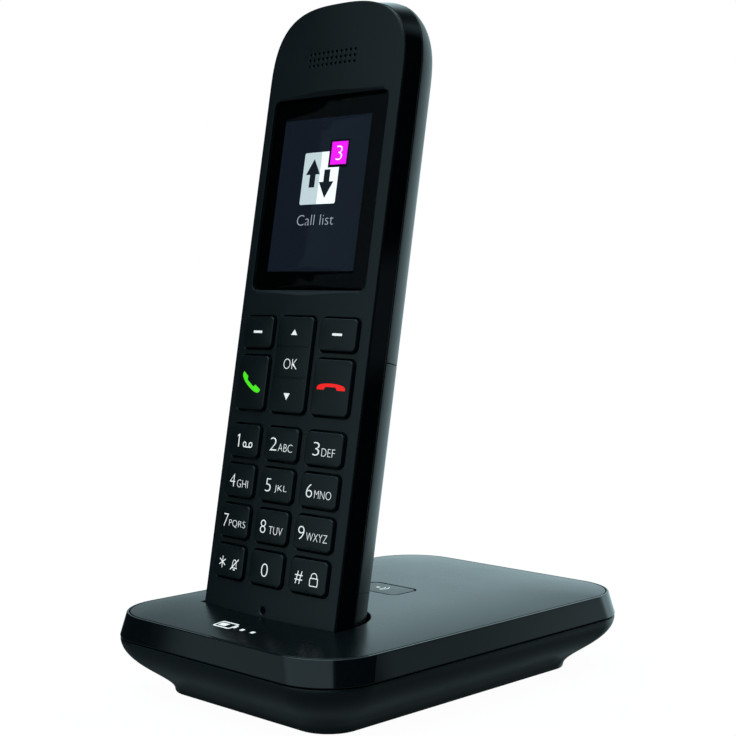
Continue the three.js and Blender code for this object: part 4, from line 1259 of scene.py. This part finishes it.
def make_base_mark(top):
    """A plain charge mark on the front of the base: a half full cell and two dots."""
    place = cast_place(top, lambda x, y: (x, y, 40), (0, 0, -1))
    y = -50.5
    middle = (-2.1, y)
    cell = rounded_rect(3.1, 1.9, 0.6, 4, middle)
    hollow = rounded_rect(2.6, 1.4, 0.25, 4, middle)
    shapes = [shape_mesh(cell, [hollow]), shape_mesh(rounded_rect(0.35, 0.8, 0.2, 3, (1.5, y)))]
    shapes.append(shape_mesh(bar(-4.2, -1.6, y - 0.9, y + 0.9)))
    for x in (4.6, 8.4):
        shapes.append(shape_mesh(rounded_rect(0.6, 0.6, 0.25, 3, (x, y - 0.6))))
    # The mark is printed in white ink whose glow is painted light.
    decal("charge_mark", shapes, place, "base", WHITE_GLOW_INK)


# ---- carried-over CAD nodes

# Materials and the words in the names of the nodes that have them; the first word found counts.
FINISHES = (
    (BOARD, ("circuit_board",)),
    (STEEL, ("shield", "antenna", "screw", "spring", "microphone")),
    (DARK, ("page_switch", "socket", "inlet", "speaker")),
    (RUBBER, ("plunger", "mat")),
    (JACKET, ("cell",)),
    (GOLD, ("contact", "pad")),
)


def finish_cad_nodes():
    for name, node in frame["nodes"].items():
        fitting = (material for material, words in FINISHES if any(word in name for word in words))
        chosen = next(fitting, DARK)
        for slot in node.material_slots:
            slot.material = chosen


# ---- light, floor, camera

# Soft boxes round the phone: azimuth from the front towards the right, half width, low and high
# edge, softness, all in degrees, then strength.
PANELS = (
    (2.0, 52.0, -12.0, 38.0, 0.6, 0.24),
    (11.0, 43.0, -12.0, 38.0, 7.0, 0.2),
    (147.6, 13.4, -3.5, 0.8, 0.7, 0.19),
    (154.0, 13.0, -3.5, 0.8, 4.0, 0.25),
    (190.0, 35.0, -22.0, 40.0, 9.0, 0.95),
    (233.0, 12.0, -22.0, 40.0, 4.0, 0.42),
    (0.0, 80.0, 46.0, 89.0, 4.0, 1.0),
    (0.0, 180.0, 50.0, 100.0, 4.0, 0.6),
    (0.0, 180.0, -100.0, -17.0, 4.0, 0.08),
)


def make_world():
    """The soft boxes light the phone; the camera itself sees plain white."""
    world = bpy.data.worlds.new("studio")
    bpy.context.scene.world = world
    n = Nodes(world)
    direction = n.add("TexCoord").outputs["Generated"]
    total = 0.012  # faint light from everywhere
    for azimuth, half, low, high, soft, strength in PANELS:
        turned = {"Vector": direction, "Angle": -math.radians(azimuth)}
        turn = n.add("VectorRotate", turned, rotation_type="Z_AXIS")
        x, y, z = n.add("SeparateXYZ", {0: turn.outputs[0]}).outputs
        side = n.math("ABSOLUTE", n.math("ARCTAN2", x, n.math("MULTIPLY", y, -1)))
        height = n.math("ARCSINE", z)

        def ramp(value, edge, start, end):
            edges = (math.radians(edge - soft), math.radians(edge + soft))
            return n.remap(value, *edges, start, end, "SMOOTHSTEP")

        share = n.math("MULTIPLY", ramp(height, low, 0, 1), ramp(height, high, 1, 0))
        if half < 180:
            share = n.math("MULTIPLY", share, ramp(side, half, 1, 0))
        total = n.math("ADD", n.math("MULTIPLY", share, strength), total)
    light = n.add("Background", {"Color": (0.70, 0.97, 1.04, 1), "Strength": total})
    paper = n.add("Background", {"Color": (1, 1, 1, 1)})
    seen = n.add("LightPath").outputs["Is Camera Ray"]
    mix = n.add("MixShader", {0: seen, 1: light.outputs[0], 2: paper.outputs[0]})
    n.add("OutputWorld", {"Surface": mix.outputs[0]})


def make_floor():
    size = 3.0
    corners = [(-size, -size, 0), (size, -size, 0), (size, size, 0), (-size, size, 0)]
    mesh = bpy.data.meshes.new("floor")
    mesh.from_pydata(corners, [], [(0, 1, 2, 3)])
    floor = new_object("floor", mesh)
    material = bpy.data.materials.new("pale_floor")
    n = Nodes(material)
    glow = n.add("Emission", {"Color": (1, 1, 1, 1), "Strength": 0.975})
    matt = n.add("BsdfDiffuse", {"Color": (0.06, 0.06, 0.06, 1)})
    both = n.add("AddShader", {0: glow.outputs[0], 1: matt.outputs[0]})
    n.add("OutputMaterial", {"Surface": both.outputs[0]})
    mesh.materials.append(material)
    floor.visible_diffuse = floor.visible_glossy = floor.visible_transmission = False


def make_camera():
    yaw, pitch = math.radians(44.16), math.radians(3.41)
    out = math.cos(pitch)
    back = Vector((math.sin(yaw) * out, -math.cos(yaw) * out, math.sin(pitch)))
    data = bpy.data.cameras.new("camera")
    data.sensor_width = 36.0
    data.lens = 73.42
    data.clip_start, data.clip_end = 0.01, 20.0
    data.shift_x, data.shift_y = -0.00102, 0.00054
    camera = new_object("camera", data)
    camera.rotation_mode = "QUATERNION"
    camera.location = (0.275985, -0.286718, 0.106633)
    camera.rotation_quaternion = back.to_track_quat("Z", "Y")
    bpy.context.scene.camera = camera


# ---- assembly

make_camera()
make_world()
make_floor()
bpy.context.scene.view_settings.view_transform = "Standard"

finish_cad_nodes()
make_face()
make_handset_band()
make_rear()
CAPS = {node: make_key(node) for node in KEY_NODES}
make_legends(CAPS)
make_display()
make_base_bottom()
make_base_band()
BASE_TOP = make_base_top()
make_page_button()
make_base_mark(BASE_TOP)
make_feet()

bpy.context.view_layer.update()
